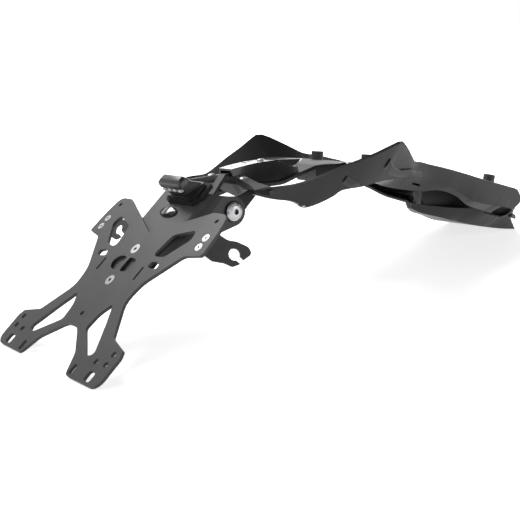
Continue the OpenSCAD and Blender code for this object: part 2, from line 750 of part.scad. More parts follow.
// Half width of the wall's middle at height h
function wall_x(s, h) =
    let (w = tray_wall(s), a = h > w[1][1] ? w[0] : w[2], b = w[1],
        t = abs(a[1] - b[1]) < 0.01 ? 0 : max(0, min(1, (h - b[1]) / (a[1] - b[1]))))
    b[0] + t * (a[0] - b[0]) - 0.7 * tray_t;
function deck_ring(s) =
    let (h = rail(deck_rail, s, 1), x = wall_x(s, h - tray_t / 2))
    bar_ring(s, x, h, tray_t);
function bar_ring(s, x, h, thick) =
    let (y = along(s)) [[-x, y, h - thick], [x, y, h - thick], [x, y, h], [-x, y, h]];

spine_x = 15.5;
spine_t = 3.4;
spine_start = 37;
// Right half of the opening in the deck, [across, forward]
well_half = [
    [0, 60, 0], [48, 63, 6], [60, 80, 8], [56, 138, 8], [34, 154, 5], [spine_x, 129, 4], [0, 129, 0]
];
// The spine leaves the bar level with its top and drops to its own line past the hanger's flange
spine_ss = concat([spine_start, 38.8, 42], [for (i = [0:16]) 47 + 5 * i, 130]);
function spine_h(s) = s < 40 ? bar_top - 0.1 : rail(spine_rail, s, 1);

// Oval holes low in the front walls and slots above them: [forward, up] of the middle
oval_at = [354, -70.3];
oval_r = 5;
oval_half = 8 * stretch;
slot_at = [209.5, -11.5];
hole_tilt = -20;

module side_holes() {
    both_sides() {
        translate([0, along(oval_at[0]), oval_at[1]]) rotate([hole_tilt, 0, 0]) {
            for (dy = [-1, 1]) translate([0, dy * oval_half, 0]) rod_x(45, 100, oval_r);
            translate([45, -oval_half, -oval_r]) cube([55, 2 * oval_half, 2 * oval_r]);
        }
        translate([0, slot_at[0], slot_at[1]]) rotate([hole_tilt, 0, 0])
            translate([60, -7, -1]) cube([40, 14, 2.2]);
    }
}

// Side view of the space in front of the moulding, [rail distance, height], down to the nose
nose_drop = 104.5;
front_line = [
    [330, 20, 0], [363.5, -45, 3], [374, -57, 5], [374, -63, 3], [367, -69, 3], [372, -76, 4],
    [379, -80, 4],
    [rail_nose, -nose_drop + 1, 0], [rail_nose + 1, -nose_drop - 9, 0], [rail_nose + 99, -nose_drop - 9, 0],
    [rail_nose + 99, 20, 0]
];

module front_trim() {
    rotate([90, 0, 90]) translate([0, 0, -120]) linear_extrude(240)
        polygon([for (p = rounded(front_line)) [along(p[0]), p[1]]]);
}

module undertray() {
    color(moulded_black) at_pivot() difference() {
        union() {
            difference() {
                union() {
                    both_sides() loft([for (s = tray_ys) wall_ring(s)]);
                    loft([for (s = tray_ys) if (s > 60) deck_ring(s)]);
                }
                translate([0, 0, -40]) linear_extrude(100) polygon(rounded(mirrored(well_half)));
                front_trim();
            }
            loft([for (s = spine_ss) bar_ring(s, spine_x, spine_h(s), spine_t)]);
            bar_layer(bar_end_x, 0, -bar_t);
        }
        both_sides() {
            on_deck(rear_spacing / 2, rear_spacer_y) deck_hole();
            on_deck(front_spacing / 2, front_spacer_y) deck_hole();
        }
        hanger_screw_holes();
        guard_screw_holes();
        side_holes();
    }
}

// Frame of a spacer's seat, square to the deck
front_spacer_y = nose_reach - front_spacer_inset;
module on_deck(x, y) {
    rise = rail(deck_rail, on_rail(y + 5), 1) - rail(deck_rail, on_rail(y - 5), 1);
    translate([x, y, rail(deck_rail, on_rail(y), 1)]) rotate([atan(rise / 10), 0, 0]) children();
}

// Hole through the deck under a spacer
module deck_hole() {
    translate([0, 0, -tray_t - 5]) cylinder(h = tray_t + 7, d = spacer_bore);
}

module spacer(x, y, h) {
    seat_gap = 0.15;
    color(powder_black) at_pivot() on_deck(x, y) translate([0, 0, seat_gap]) difference() {
        cylinder(h = h, d = spacer_d);
        translate([0, 0, -cut]) cylinder(h = h + 2 * cut, d = spacer_bore);
    }
}

module rear_spacer_left() {
    spacer(-rear_spacing / 2, rear_spacer_y, rear_spacer_h);
}

module rear_spacer_right() {
    spacer(rear_spacing / 2, rear_spacer_y, rear_spacer_h);
}

module front_spacer_left() {
    spacer(-front_spacing / 2, front_spacer_y, front_spacer_h);
}

module front_spacer_right() {
    spacer(front_spacing / 2, front_spacer_y, front_spacer_h);
}

// Wiring channel over the spine: top line, [forward, up]
channel_rail = [
    [28, 32.6], [41, 33.3], [56, 33.6], [70, 33], [83, 31.6], [92, 28], [100, 24], [106, 21.6], [112, 20.6]
];
channel_x = channel_w / 2;
channel_start = 28;
channel_end = 110;
channel_ss = concat([channel_start, 33, 38.8], [for (i = [0:15]) 43 + (channel_end - 43) * i / 15]);
channel_seat = 0.15;
function channel_low(s) = channel_seat + (s < 40 ? bar_top : rail(spine_rail, s, 1));
channel_screw_y = 72;
channel_screw_d = 4;

function channel_h(y) = rail(channel_rail, y, 1);

// Frame of the channel's screw, square to its top
module at_channel_screw() {
    rise = channel_h(channel_screw_y + 4) - channel_h(channel_screw_y - 4);
    translate([0, channel_screw_y, channel_h(channel_screw_y) + 0.1]) rotate([atan(rise / 8), 0, 0]) children();
}

// Section of the channel at s, half as wide as x at the top and x + spread at the bottom
function channel_ring(s, x, spread, low, top) =
    [[-x - spread, s, low], [x + spread, s, low], [x, s, top], [-x, s, top]];

module wiring_channel() {
    inner_x = channel_x - channel_t;
    inner_ss = concat([channel_start - cut], [for (s = channel_ss) if (s < channel_end - 2 * channel_t) s]);
    color(moulded_black) at_pivot() difference() {
        loft([for (s = channel_ss) channel_ring(s, channel_x, 1, channel_low(s), channel_h(s))]);
        loft([for (s = inner_ss) let (from = max(channel_start, s))
            channel_ring(s, inner_x, 0, channel_low(from) - cut, channel_h(from) - channel_t)]);
        translate([-4, 36, 28]) cube([5, 1.5, 10]);
        translate([-7, 52, 28]) cube([3, 12, 10]);
        at_channel_screw() translate([0, 0, -10]) cylinder(h = 12, d = channel_screw_d + 2 * screw_play);
    }
}

module channel_screws() {
    color(zinc) at_pivot() at_channel_screw() button_screw(channel_screw_d, 14);
}

// Rails of the inner mudguard: [forward of the pivot, half width, height, height of its inner lip]
rim_rail = [
    [276, 5, -51.5, 1], [290, 12, -56, 1], [306, 20, -60.5, 1], [329, 40, -65, 1], [345, 60.5, -67.5, 6],
    [380, 60.5, -79.5, 7], [402, 60.5, -87.5, 7]
];
keel_rail = [
    [276, 3, -58], [285, 7, -64.5], [310, 15, -74.5], [332, 25, -83.8], [355, 35, -92.5], [379, 45, -99.5],
    [402, 50, -nose_drop]
];
guard_start = 276;
guard_steps = 16;
guard_ss = [for (i = [0:guard_steps]) guard_start + (rail_nose - guard_start) * i / guard_steps];
function guard_low(s) = rail(keel_rail, s, 2) + max(0, nose_drop - pivot_z);

function guard_ring(s) =
    let (
        y = along(s), x = rail(rim_rail, s, 1), h = rail(rim_rail, s, 2), lip = h + rail(rim_rail, s, 3),
        kx = rail(keel_rail, s, 1), kh = max(-pivot_z, guard_low(s)),
        half = [
            [kx, kh], [x, h], [x, lip], [x - guard_t, lip], [x - guard_t, h], [kx - 0.6 * guard_t, kh + guard_t]
        ]
    )
    concat([for (i = [2:-1:0]) [-half[i][0], y, half[i][1]]], [for (i = [0:2]) [half[i][0], y, half[i][1]]],
        [for (i = [3:5]) [max(0.3, half[i][0]), y, half[i][1]]],
        [for (i = [5:-1:3]) [-max(0.3, half[i][0]), y, half[i][1]]]);

// Upstands from the mudguard's floor to just under the deck, closing it to the wheel
function upstand_ring(s) =
    let (
        y = along(s), x = 0.72 * rail(keel_rail, s, 1), low = guard_low(s) + 0.5 * guard_t,
        high = rail(deck_rail, s, 1) - tray_t - 0.4 - max(0, 0.35 * (330 - s))
    )
    [[x - guard_t, y, low], [x, y, low], [x, y, high], [x - guard_t, y, high]];

module inner_mudguard() {
    color(moulded_black) at_pivot() difference() {
        union() {
            loft([for (s = guard_ss) guard_ring(s)]);
            both_sides() loft([for (s = guard_ss) if (s > 290 && s < 385) upstand_ring(s)]);
        }
        front_trim();
        guard_screw_holes();
        side_holes();
    }
}

// Screws through the lower edge of the front walls into the mudguard's lip
guard_screw_d = 3;
guard_screw_ss = [372];
guard_screw_up = 3.4;

// Frame of a screw on the outer face, Z out of the face
module at_guard_screws() {
    both_sides() for (s = guard_screw_ss) {
        w = tray_wall(s);
        ahead = tray_wall(s + 4)[2];
        up = unit([w[1][0] - w[2][0], 0, w[1][1] - w[2][1]]);
        forward = [ahead[0] - w[2][0], along(s + 4) - along(s), ahead[1] - w[2][1]];
        out = unit(cross(forward, up));
        translate([w[2][0], along(s), w[2][1]] + guard_screw_up * up + 0.15 * out)
            rotate([0, acos(out[2]), atan2(out[1], out[0])]) children();
    }
}

module guard_screw_holes() {
    at_guard_screws() translate([0, 0, -14]) cylinder(h = 16, d = guard_screw_d + 2 * screw_play);
}

module mudguard_screws() {
    color(zinc) at_pivot() at_guard_screws() button_screw(guard_screw_d, 13);
}

number_plate_bracket();
plate_arm();
plate_screws();
plate_nuts();
indicator_bracket_left();
indicator_bracket_right();
indicator_screws();
indicator_nuts();
cover_plug();
plug_ring();
light_housing();
light_lens();
light_base();
light_screws();
pivot_tube();
pivot_bolt_left();
pivot_bolt_right();
pivot_washer_left();
pivot_washer_right();
hanger_bracket();
tie_strap();
hanger_screws();
wiring_channel();
channel_screws();
undertray();
rear_spacer_left();
rear_spacer_right();
front_spacer_left();
front_spacer_right();
inner_mudguard();
mudguard_screws();
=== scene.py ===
"""Finished look of a motorbike tail tidy: a plate bracket on an arm under a moulded undertray.

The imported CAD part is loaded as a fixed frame. The script gives every CAD node a procedural
finish, rounds its edges a little, builds the pieces whose real form is smoother than the CAD
solid, and sets the floor, the soft studio light and the camera at the photograph's view.
"""
import logging
import math
from dataclasses import dataclass, field
from enum import Enum
from typing import Dict, List, Sequence, Tuple

import bmesh
import bpy
import numpy as np
from mathutils import Matrix, Vector

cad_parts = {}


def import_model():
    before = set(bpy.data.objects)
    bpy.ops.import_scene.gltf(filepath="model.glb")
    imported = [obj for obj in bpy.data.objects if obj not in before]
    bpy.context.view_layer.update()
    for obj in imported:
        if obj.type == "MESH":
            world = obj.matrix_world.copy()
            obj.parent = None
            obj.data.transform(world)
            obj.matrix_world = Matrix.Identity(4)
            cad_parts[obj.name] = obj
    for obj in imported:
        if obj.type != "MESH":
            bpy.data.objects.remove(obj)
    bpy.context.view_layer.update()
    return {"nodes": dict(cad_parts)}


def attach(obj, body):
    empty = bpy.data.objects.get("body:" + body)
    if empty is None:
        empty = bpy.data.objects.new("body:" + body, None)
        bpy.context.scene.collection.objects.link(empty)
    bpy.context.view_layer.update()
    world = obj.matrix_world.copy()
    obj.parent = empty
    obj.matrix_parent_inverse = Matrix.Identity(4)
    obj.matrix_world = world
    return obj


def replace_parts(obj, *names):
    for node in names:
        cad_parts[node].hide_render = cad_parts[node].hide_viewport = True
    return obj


LOG = logging.getLogger("tail_tidy")
MM = 0.001

Colour = Tuple[float, float, float]
Point = Tuple[float, float, float]
Span = Tuple[float, float]
Socket = bpy.types.NodeSocket
SIDES: Tuple[Tuple[float, str], ...] = ((1.0, "right"), (-1.0, "left"))
NOISE_MIDDLE: Span = (0.3, 0.7)
MERGE_DISTANCE = 1e-5
NODE_BEVEL_ANGLE = 35.0
SKIN_BEVEL_ANGLE = 40.0
SKIN_CREASE = 24.0
SHELL_CREASE = 32.0


class Finish(Enum):
    """Finishes that the object's surfaces have."""

    POWDER = "satin_powder_coat"
    MOULDING = "moulded_plastic"
    GRAINED = "grained_moulded_plastic"
    MATT_MOULDING = "matt_moulded_plastic"
    LIGHT_PLASTIC = "light_housing_plastic"
    STAINLESS = "stainless"
    ZINC = "zinc_plate"
    RUBBER = "rubber"
    DARK_COAT_AND_SHADE = "dark_coat_and_painted_shade"
    GLOSS = "gloss_black_dome"
    LENS = "clear_lens"


@dataclass(frozen=True)
class CameraView:
    """Place and aim of the camera, in metres in the frame of the part.

    Attributes:
        eye: Place of the camera.
        right: Direction of the picture's right.
        down: Direction of the picture's lower edge.
        lens: Focal length in millimetres on the sensor's width.
        sensor: Width of the sensor in millimetres.
    """

    eye: Point = (0.7541, -0.6003, 0.2722)
    right: Point = (0.6089, 0.7865, -0.1036)
    down: Point = (0.1327, -0.2297, -0.9642)
    lens: float = 65.77
    sensor: float = 36.0


@dataclass(frozen=True)
class AreaLight:
    """A soft rectangular light.

    Attributes:
        name: Name of the light.
        place: Place of its centre in metres.
        target: Point that it faces.
        size: Width and height in metres.
        power: Power in watts.
    """

    name: str
    place: Point
    target: Point
    size: Span
    power: float


LIGHTED: Point = (0.0, 0.0, 0.08)
LIGHTS: Tuple[AreaLight, ...] = (
    AreaLight("key_left", (-1.0, 0.0, 1.35), LIGHTED, (0.9, 0.9), 20.0),
    AreaLight("rear_top", (-0.3, -1.2, 1.3), LIGHTED, (1.2, 0.8), 6.0),
    AreaLight("far_back", (-1.5, 1.3, 0.62), LIGHTED, (1.6, 0.5), 11.0),
    AreaLight("front_fill", (1.5, 0.9, 0.5), (0.0, 0.2, 0.05), (0.8, 0.6), 4.0),
)


@dataclass(frozen=True)
class NodeLook:
    """Finish of some CAD nodes.

    Attributes:
        finish: Finish of their surface.
        edge: Width of their rounded edges in millimetres, or 0 for none.
        nodes: Names of the nodes.
    """

    finish: Finish
    edge: float
    nodes: Tuple[str, ...]


LOOKS: Tuple[NodeLook, ...] = (
    NodeLook(Finish.POWDER, 0.35, ("number_plate_bracket", "plate_arm", "tie_strap")),
    # painted shade: the bracket under the tray takes the darker coat for the shadow it sits in
    NodeLook(Finish.DARK_COAT_AND_SHADE, 0.3, ("hanger_bracket",)),
    NodeLook(Finish.POWDER, 0.3, ("indicator_bracket_left", "indicator_bracket_right")),
    NodeLook(Finish.POWDER, 0.4, ("rear_spacer_left", "rear_spacer_right",
                                  "front_spacer_left", "front_spacer_right")),
    NodeLook(Finish.POWDER, 0.2, ("pivot_tube",)),
    NodeLook(Finish.GLOSS, 0.0, ("cover_plug",)),
    NodeLook(Finish.STAINLESS, 0.15, ("plate_screws", "indicator_screws",
                                      "pivot_bolt_left", "pivot_bolt_right")),
    NodeLook(Finish.ZINC, 0.15, ("plate_nuts", "indicator_nuts", "light_screws",
                                 "hanger_screws", "channel_screws")),
    NodeLook(Finish.DARK_COAT_AND_SHADE, 0.15, ("mudguard_screws",)),
    NodeLook(Finish.RUBBER, 0.2, ("plug_ring", "light_base",
                                  "pivot_washer_left", "pivot_washer_right")),
)


@dataclass(frozen=True)
class Noise:
    """A noise texture in object space.

    Attributes:
        scale: Waves per metre.
        detail: Number of octaves.
        roughness: Weight of the finer octaves.
    """

    scale: float
    detail: float
    roughness: float = 0.5


@dataclass(frozen=True)
class Surface:
    """Recipe of a material, with noise textures that vary its colour, sheen and relief.

    Attributes:
        noises: The textures by name; the one named broad varies the colour.
        dark: Colour at that texture's low values.
        pale: Colour at its high values.
        rough_from: Name of the texture that varies the roughness.
        rough: Roughness at that texture's low and high values.
        values: Constants of the shader's sockets.
        bumps: Texture, strength and height in metres of each bump, one over the other.
        painted_shade_reach: Distance in metres to which walls darken the colour in hollows as
            painted shade, or 0 for none.
        upward: Roughness that faces looking up have on top.
    """

    noises: Dict[str, Noise]
    dark: Colour
    pale: Colour
    rough_from: str
    rough: Span
    values: Dict[str, float] = field(default_factory=dict)
    bumps: Tuple[Tuple[str, float, float], ...] = ()
    painted_shade_reach: float = 0.0
    upward: float = 0.0


SURFACES: Dict[Finish, Surface] = {
    # Satin black powder coat of the folded sheet parts.
    Finish.POWDER: Surface(
        {"broad": Noise(22.0, 3.0), "peel": Noise(900.0, 2.0), "grain": Noise(3800.0, 3.0, 0.6)},
        dark=(0.060, 0.060, 0.061), pale=(0.074, 0.074, 0.075),
        rough_from="grain", rough=(0.40, 0.52), values={"Specular IOR Level": 0.35},
        bumps=(("peel", 0.10, 0.0002), ("grain", 0.12, 0.00008)),
    ),
    # Deeper black coat of screws that hardly show; on the black bracket under the tray it is also
    # painted shade, a darker copy of the powder coat for the tray's shadow.
    Finish.DARK_COAT_AND_SHADE: Surface(
        {"broad": Noise(30.0, 3.0), "grain": Noise(3200.0, 3.0, 0.6)},
        dark=(0.016, 0.016, 0.017), pale=(0.024, 0.024, 0.025),
        rough_from="grain", rough=(0.38, 0.50), values={"Specular IOR Level": 0.3},
        bumps=(("grain", 0.12, 0.00008),),
    ),
    # Polished black plastic of the cover plug's dome.
    Finish.GLOSS: Surface(
        {"broad": Noise(120.0, 2.0)},
        dark=(0.020, 0.020, 0.021), pale=(0.030, 0.030, 0.031),
        rough_from="broad", rough=(0.10, 0.16),
        values={"Specular IOR Level": 0.8, "Coat Weight": 0.6, "Coat Roughness": 0.06},
        bumps=(("broad", 0.04, 0.0002),),
    ),
    # Black injection moulding with a soft sheen.
    Finish.MOULDING: Surface(
        {"broad": Noise(9.0, 3.0), "texture": Noise(2600.0, 4.0, 0.6), "wave": Noise(60.0, 2.0)},
        dark=(0.015, 0.014, 0.015), pale=(0.021, 0.020, 0.021),
        rough_from="broad", rough=(0.25, 0.33), values={"Specular IOR Level": 0.45},
        bumps=(("wave", 0.05, 0.0004), ("texture", 0.10, 0.00006)),
    ),
    # Greyer, flatter plastic of the inner mudguard.
    Finish.MATT_MOULDING: Surface(
        {"broad": Noise(8.0, 3.0), "texture": Noise(2200.0, 4.0, 0.6)},
        dark=(0.040, 0.039, 0.041), pale=(0.050, 0.049, 0.051),
        rough_from="broad", rough=(0.34, 0.42), values={"Specular IOR Level": 0.45},
        bumps=(("texture", 0.12, 0.00007),),
    ),
    # The tray's moulding: smooth walls and a rougher grain on faces that look up.
    Finish.GRAINED: Surface(
        {"broad": Noise(9.0, 3.0), "texture": Noise(2600.0, 4.0, 0.6),
         "grain": Noise(1500.0, 3.0, 0.7), "wave": Noise(60.0, 2.0)},
        dark=(0.015, 0.014, 0.015), pale=(0.021, 0.020, 0.021),
        rough_from="broad", rough=(0.25, 0.33), values={"Specular IOR Level": 0.4},
        bumps=(("wave", 0.05, 0.0004), ("grain", 0.06, 0.0001), ("texture", 0.10, 0.00006)),
        upward=0.30,
    ),
    # Smoother black plastic of the plate light.
    Finish.LIGHT_PLASTIC: Surface(
        {"broad": Noise(40.0, 3.0), "texture": Noise(3000.0, 3.0)},
        dark=(0.018, 0.018, 0.019), pale=(0.025, 0.025, 0.026),
        rough_from="broad", rough=(0.30, 0.38), bumps=(("texture", 0.08, 0.00005),),
    ),
    # Plain stainless steel of the visible screw heads; painted shade darkens the colour in their
    # sockets.
    Finish.STAINLESS: Surface(
        {"broad": Noise(120.0, 2.0), "turned": Noise(2500.0, 2.0)},
        dark=(0.67, 0.67, 0.68), pale=(0.72, 0.72, 0.73),
        rough_from="broad", rough=(0.28, 0.34), values={"Metallic": 1.0},
        bumps=(("turned", 0.05, 0.00002),), painted_shade_reach=0.0025,
    ),
    # Duller zinc plate of nuts and small screws.
    Finish.ZINC: Surface(
        {"broad": Noise(400.0, 5.0, 0.6)},
        dark=(0.34, 0.35, 0.37), pale=(0.50, 0.51, 0.52),
        rough_from="broad", rough=(0.34, 0.52), values={"Metallic": 1.0},
        bumps=(("broad", 0.06, 0.00006),),
    ),
    # Matt black rubber of rings, washers and the light's base, and of the dark cup in each wall
    # hole, which is painted shade for the shadow inside the hole.
    Finish.RUBBER: Surface(
        {"broad": Noise(120.0, 3.0), "grain": Noise(2200.0, 4.0, 0.7)},
        dark=(0.010, 0.010, 0.010), pale=(0.018, 0.018, 0.018),
        rough_from="grain", rough=(0.62, 0.78), values={"Specular IOR Level": 0.2},
        bumps=(("grain", 0.15, 0.0001),),
    ),
    # Frosted clear plastic of the light's prisms.
    Finish.LENS: Surface(
        {"broad": Noise(500.0, 3.0)},
        dark=(0.80, 0.82, 0.85), pale=(0.92, 0.93, 0.95),
        rough_from="broad", rough=(0.10, 0.22), values={"Transmission Weight": 0.35, "IOR": 1.49},
    ),
}


def map_range(tree: bpy.types.NodeTree, value: Socket, source: Span, target: Span,
              smooth: bool = False) -> Socket:
    """Map a value from one range to another.

    Args:
        tree: Node tree to add to.
        value: Socket with the value.
        source: Lowest and highest value that is read.
        target: Results at these two.
        smooth: Whether the change eases in and out.

    Returns:
        The socket with the result.
    """
    node = tree.nodes.new("ShaderNodeMapRange")
    if smooth:
        node.interpolation_type = "SMOOTHSTEP"
    for name, end in zip(("From Min", "From Max", "To Min", "To Max"), (*source, *target)):
        node.inputs[name].default_value = end
    tree.links.new(value, node.inputs["Value"])
    return node.outputs["Result"]


def combine(tree: bpy.types.NodeTree, operation: str, first: Socket,
            second: Socket) -> Socket:
    """Combine two values.

    Args:
        tree: Node tree to add to.
        operation: Operation of the maths node.
        first: Socket with the first value.
        second: Socket with the second value.

    Returns:
        The socket with the result.
    """
    node = tree.nodes.new("ShaderNodeMath")
    node.operation = operation
    tree.links.new(first, node.inputs[0])
    tree.links.new(second, node.inputs[1])
    return node.outputs["Value"]


def seen_directly(tree: bpy.types.NodeTree, shown: float, otherwise: float) -> Socket:
    """Give one value to camera, glossy and transmission rays and another to the rest.

    Args:
        tree: Node tree to add to.
        shown: Value where the camera, a gloss or a clear part sees the surface.
        otherwise: Value for the light that the surface gives.

    Returns:
        The socket with the value.
    """
    path = tree.nodes.new("ShaderNodeLightPath")
    seen = path.outputs["Is Camera Ray"]
    for name in ("Is Glossy Ray", "Is Transmission Ray"):
        seen = combine(tree, "MAXIMUM", seen, path.outputs[name])
    return map_range(tree, seen, (0.0, 1.0), (otherwise, shown))


class NodeGraph:
    """Small helper that adds and links the nodes of one material."""

    def __init__(self, name: str) -> None:
        """Start a material.

        Args:
            name: Name of the material.
        """
        self.material = bpy.data.materials.new(name)
        self.material.use_nodes = True
        self.tree = self.material.node_tree
        self.shader = self.tree.nodes["Principled BSDF"]
        self.coords = self.tree.nodes.new("ShaderNodeTexCoord")

    def noise(self, noise: Noise) -> Socket:
        """Add a noise texture in object space.

        Args:
            noise: The texture.

        Returns:
            The socket with its value.
        """
        node = self.tree.nodes.new("ShaderNodeTexNoise")
        node.inputs["Scale"].default_value = noise.scale
        node.inputs["Detail"].default_value = noise.detail
        node.inputs["Roughness"].default_value = noise.roughness
        self.tree.links.new(self.coords.outputs["Object"], node.inputs["Vector"])
        return node.outputs["Fac"]

    def tint(self, value: Socket, dark: Colour, pale: Colour) -> Socket:
        """Spread a texture's middle values between two colours.

        Args:
            value: Socket with the texture's value.
            dark: Colour at the low values.
            pale: Colour at the high values.

        Returns:
            The socket with the colour.
        """
        node = self.tree.nodes.new("ShaderNodeValToRGB")
        for element, place, colour in zip(node.color_ramp.elements, NOISE_MIDDLE, (dark, pale)):
            element.position = place
            element.color = (*colour, 1.0)
        self.tree.links.new(value, node.inputs["Fac"])
        return node.outputs["Color"]

    def paint_recess_shade(self, colour: Socket, reach: float) -> Socket:
        """Paint shade into a colour: darken it in sockets and other narrow recesses, where shade
        falls.

        Args:
            colour: Socket with the colour.
            reach: Distance to which a wall shades the surface, in metres.

        Returns:
            The socket with the result.
        """
        shade = self.tree.nodes.new("ShaderNodeAmbientOcclusion")
        shade.inputs["Distance"].default_value = reach
        self.tree.links.new(colour, shade.inputs["Color"])
        curve = self.tree.nodes.new("ShaderNodeGamma")
        curve.inputs["Gamma"].default_value = 2.0
        self.tree.links.new(shade.outputs["Color"], curve.inputs["Color"])
        return curve.outputs["Color"]

    def upward(self, most: float) -> Socket:
        """Give a value to faces that look up and none to the others.

        Args:
            most: Value of a level face.

        Returns:
            The socket with the value.
        """
        facing = self.tree.nodes.new("ShaderNodeSeparateXYZ")
        self.tree.links.new(self.coords.outputs["Normal"], facing.inputs["Vector"])
        return map_range(self.tree, facing.outputs["Z"], (0.55, 0.92), (0.0, most), smooth=True)

    def bump(self, sources: Sequence[Tuple[Socket, float, float]]) -> None:
        """Add bumps to the surface, one over the other.

        Args:
            sources: Texture's socket, strength and height in metres of each bump.
        """
        normal = None
        for source, strength, height in sources:
            node = self.tree.nodes.new("ShaderNodeBump")
            node.inputs["Strength"].default_value = strength
            node.inputs["Distance"].default_value = height
            self.tree.links.new(source, node.inputs["Height"])
            if normal is not None:
                self.tree.links.new(normal, node.inputs["Normal"])
            normal = node.outputs["Normal"]
        if normal is not None:
            self.link(normal, "Normal")

    def link(self, socket: Socket, name: str) -> None:
        """Feed a socket of the shader.

        Args:
            socket: Socket that gives the value.
            name: Name of the shader's socket.
        """
        self.tree.links.new(socket, self.shader.inputs[name])

    def set(self, values: Dict[str, float]) -> None:
        """Set constant sockets of the shader.

        Args:
            values: Socket names and values.
        """
        for name, value in values.items():
            self.shader.inputs[name].default_value = value


@dataclass
class Materials:
    """Procedural materials of the object, made once each.

    Attributes:
        made: The materials made so far.
    """

    made: Dict[Finish, bpy.types.Material] = field(default_factory=dict)

    def get(self, finish: Finish) -> bpy.types.Material:
        """Return the material of a finish, and make it the first time.

        Args:
            finish: The finish.

        Returns:
            Its material.
        """
        if finish not in self.made:
            self.made[finish] = self._make(finish.value, SURFACES[finish])
        return self.made[finish]

    @staticmethod
    def _make(name: str, surface: Surface) -> bpy.types.Material:
        """Make a material from its recipe.

        Args:
            name: Name of the material.
            surface: Its recipe.

        Returns:
            The material.
        """
        graph = NodeGraph(name)
        noises = {key: graph.noise(noise) for key, noise in surface.noises.items()}
        colour = graph.tint(noises["broad"], surface.dark, surface.pale)
        # painted shade: the base colour darkens in sockets and narrow recesses
        if surface.painted_shade_reach > 0:
            colour = graph.paint_recess_shade(colour, surface.painted_shade_reach)
        graph.link(colour, "Base Color")
        rough = map_range(graph.tree, noises[surface.rough_from], NOISE_MIDDLE, surface.rough)
        if surface.upward > 0:
            rough = combine(graph.tree, "ADD", rough, graph.upward(surface.upward))
        graph.link(rough, "Roughness")
        graph.set(surface.values)
        graph.bump([(noises[key], strength, height) for key, strength, height in surface.bumps])
        return graph.material


def add_bevel(piece: bpy.types.Object, width: float, angle: float, harden: bool) -> None:
    """Round the edges of a piece that are sharper than an angle.

    Args:
        piece: The piece.
        width: Width of the rounding in millimetres.
        angle: The angle in degrees.
        harden: Whether the flat faces keep their own shading.
    """
    bevel = piece.modifiers.new("edge", "BEVEL")
    bevel.width = width * MM
    bevel.segments = 2
    bevel.limit_method = "ANGLE"
    bevel.angle_limit = math.radians(angle)
    bevel.harden_normals = harden


def make_piece(name: str, mesh: bpy.types.Mesh, work: bmesh.types.BMesh,
               material: bpy.types.Material, sharp: float) -> bpy.types.Object:
    """Write a worked surface to its mesh, shaded smoothly between its crisp edges.

    Args:
        name: Name of the piece.
        mesh: Mesh that takes the surface.
        work: The worked surface, which is freed.
        material: Material of the piece.
        sharp: Smallest angle in degrees of an edge that stays crisp.

    Returns:
        The piece, linked to the scene.
    """
    limit = math.radians(sharp)
    for edge in work.edges:
        edge.smooth = len(edge.link_faces) == 2 and edge.calc_face_angle(0.0) < limit
    for face in work.faces:
        face.smooth = True
    work.to_mesh(mesh)
    work.free()
    mesh.materials.clear()
    mesh.materials.append(material)
    piece = bpy.data.objects.new(name, mesh)
    bpy.context.scene.collection.objects.link(piece)
    return piece


@dataclass
class NodeDresser:
    """Gives the CAD nodes their finish and a small rounded edge, or a smooth stand-in.

    Attributes:
        nodes: CAD nodes by name.
        materials: Material library.
    """

    nodes: Dict[str, bpy.types.Object]
    materials: Materials

    def dress(self, look: NodeLook) -> None:
        """Give nodes their look.

        Args:
            look: The look.
        """
        material = self.materials.get(look.finish)
        for name in look.nodes:
            node = self.nodes[name]
            for slot in node.material_slots:
                slot.material = material
            if not node.material_slots:
                node.data.materials.append(material)
            if look.edge > 0:
                add_bevel(node, look.edge, NODE_BEVEL_ANGLE, harden=False)
            LOG.info("dressed %s in %s", name, look.finish.value)

    def skin(self, node: str, body: str, finish: Finish, edge: float) -> None:
        """Copy a surface that is lofted through many flat facets, and shade it smoothly.

        Args:
            node: Name of the node.
            body: Body that it rides on.
            finish: Finish of the piece.
            edge: Width of its rounded edges in millimetres.
        """
        mesh = self.nodes[node].data.copy()
        work = bmesh.new()
        work.from_mesh(mesh)
        bmesh.ops.remove_doubles(work, verts=work.verts, dist=MERGE_DISTANCE)
        piece = make_piece(f"{node}_skin", mesh, work, self.materials.get(finish), SKIN_CREASE)
        add_bevel(piece, edge, SKIN_BEVEL_ANGLE, harden=True)
        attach(piece, body)
        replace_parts(piece, node)
        LOG.info("built %s", piece.name)


def rounded_outline(corners: np.ndarray, steps: int) -> np.ndarray:
    """Round the corners of a flat outline.

    Each corner C becomes the curve (1-t)^2 A + 2t(1-t) C + t^2 B, where A and B lie on the two
    edges at the corner's radius from it.

    Args:
        corners: Rows of x, y and radius.
        steps: Points on each corner.

    Returns:
        Rows of x and y, in the order of the corners.
    """
    place = corners[:, :2]
    radius = corners[:, 2:3]
    before = np.roll(place, 1, axis=0) - place
    after = np.roll(place, -1, axis=0) - place
    start = place + radius * before / np.linalg.norm(before, axis=1, keepdims=True)
    end = place + radius * after / np.linalg.norm(after, axis=1, keepdims=True)
    t = np.linspace(0.0, 1.0, steps)[None, :, None]
    curve = (1 - t) ** 2 * start[:, None] + 2 * t * (1 - t) * place[:, None] + t ** 2 * end[:, None]
    return curve.reshape(-1, 2)


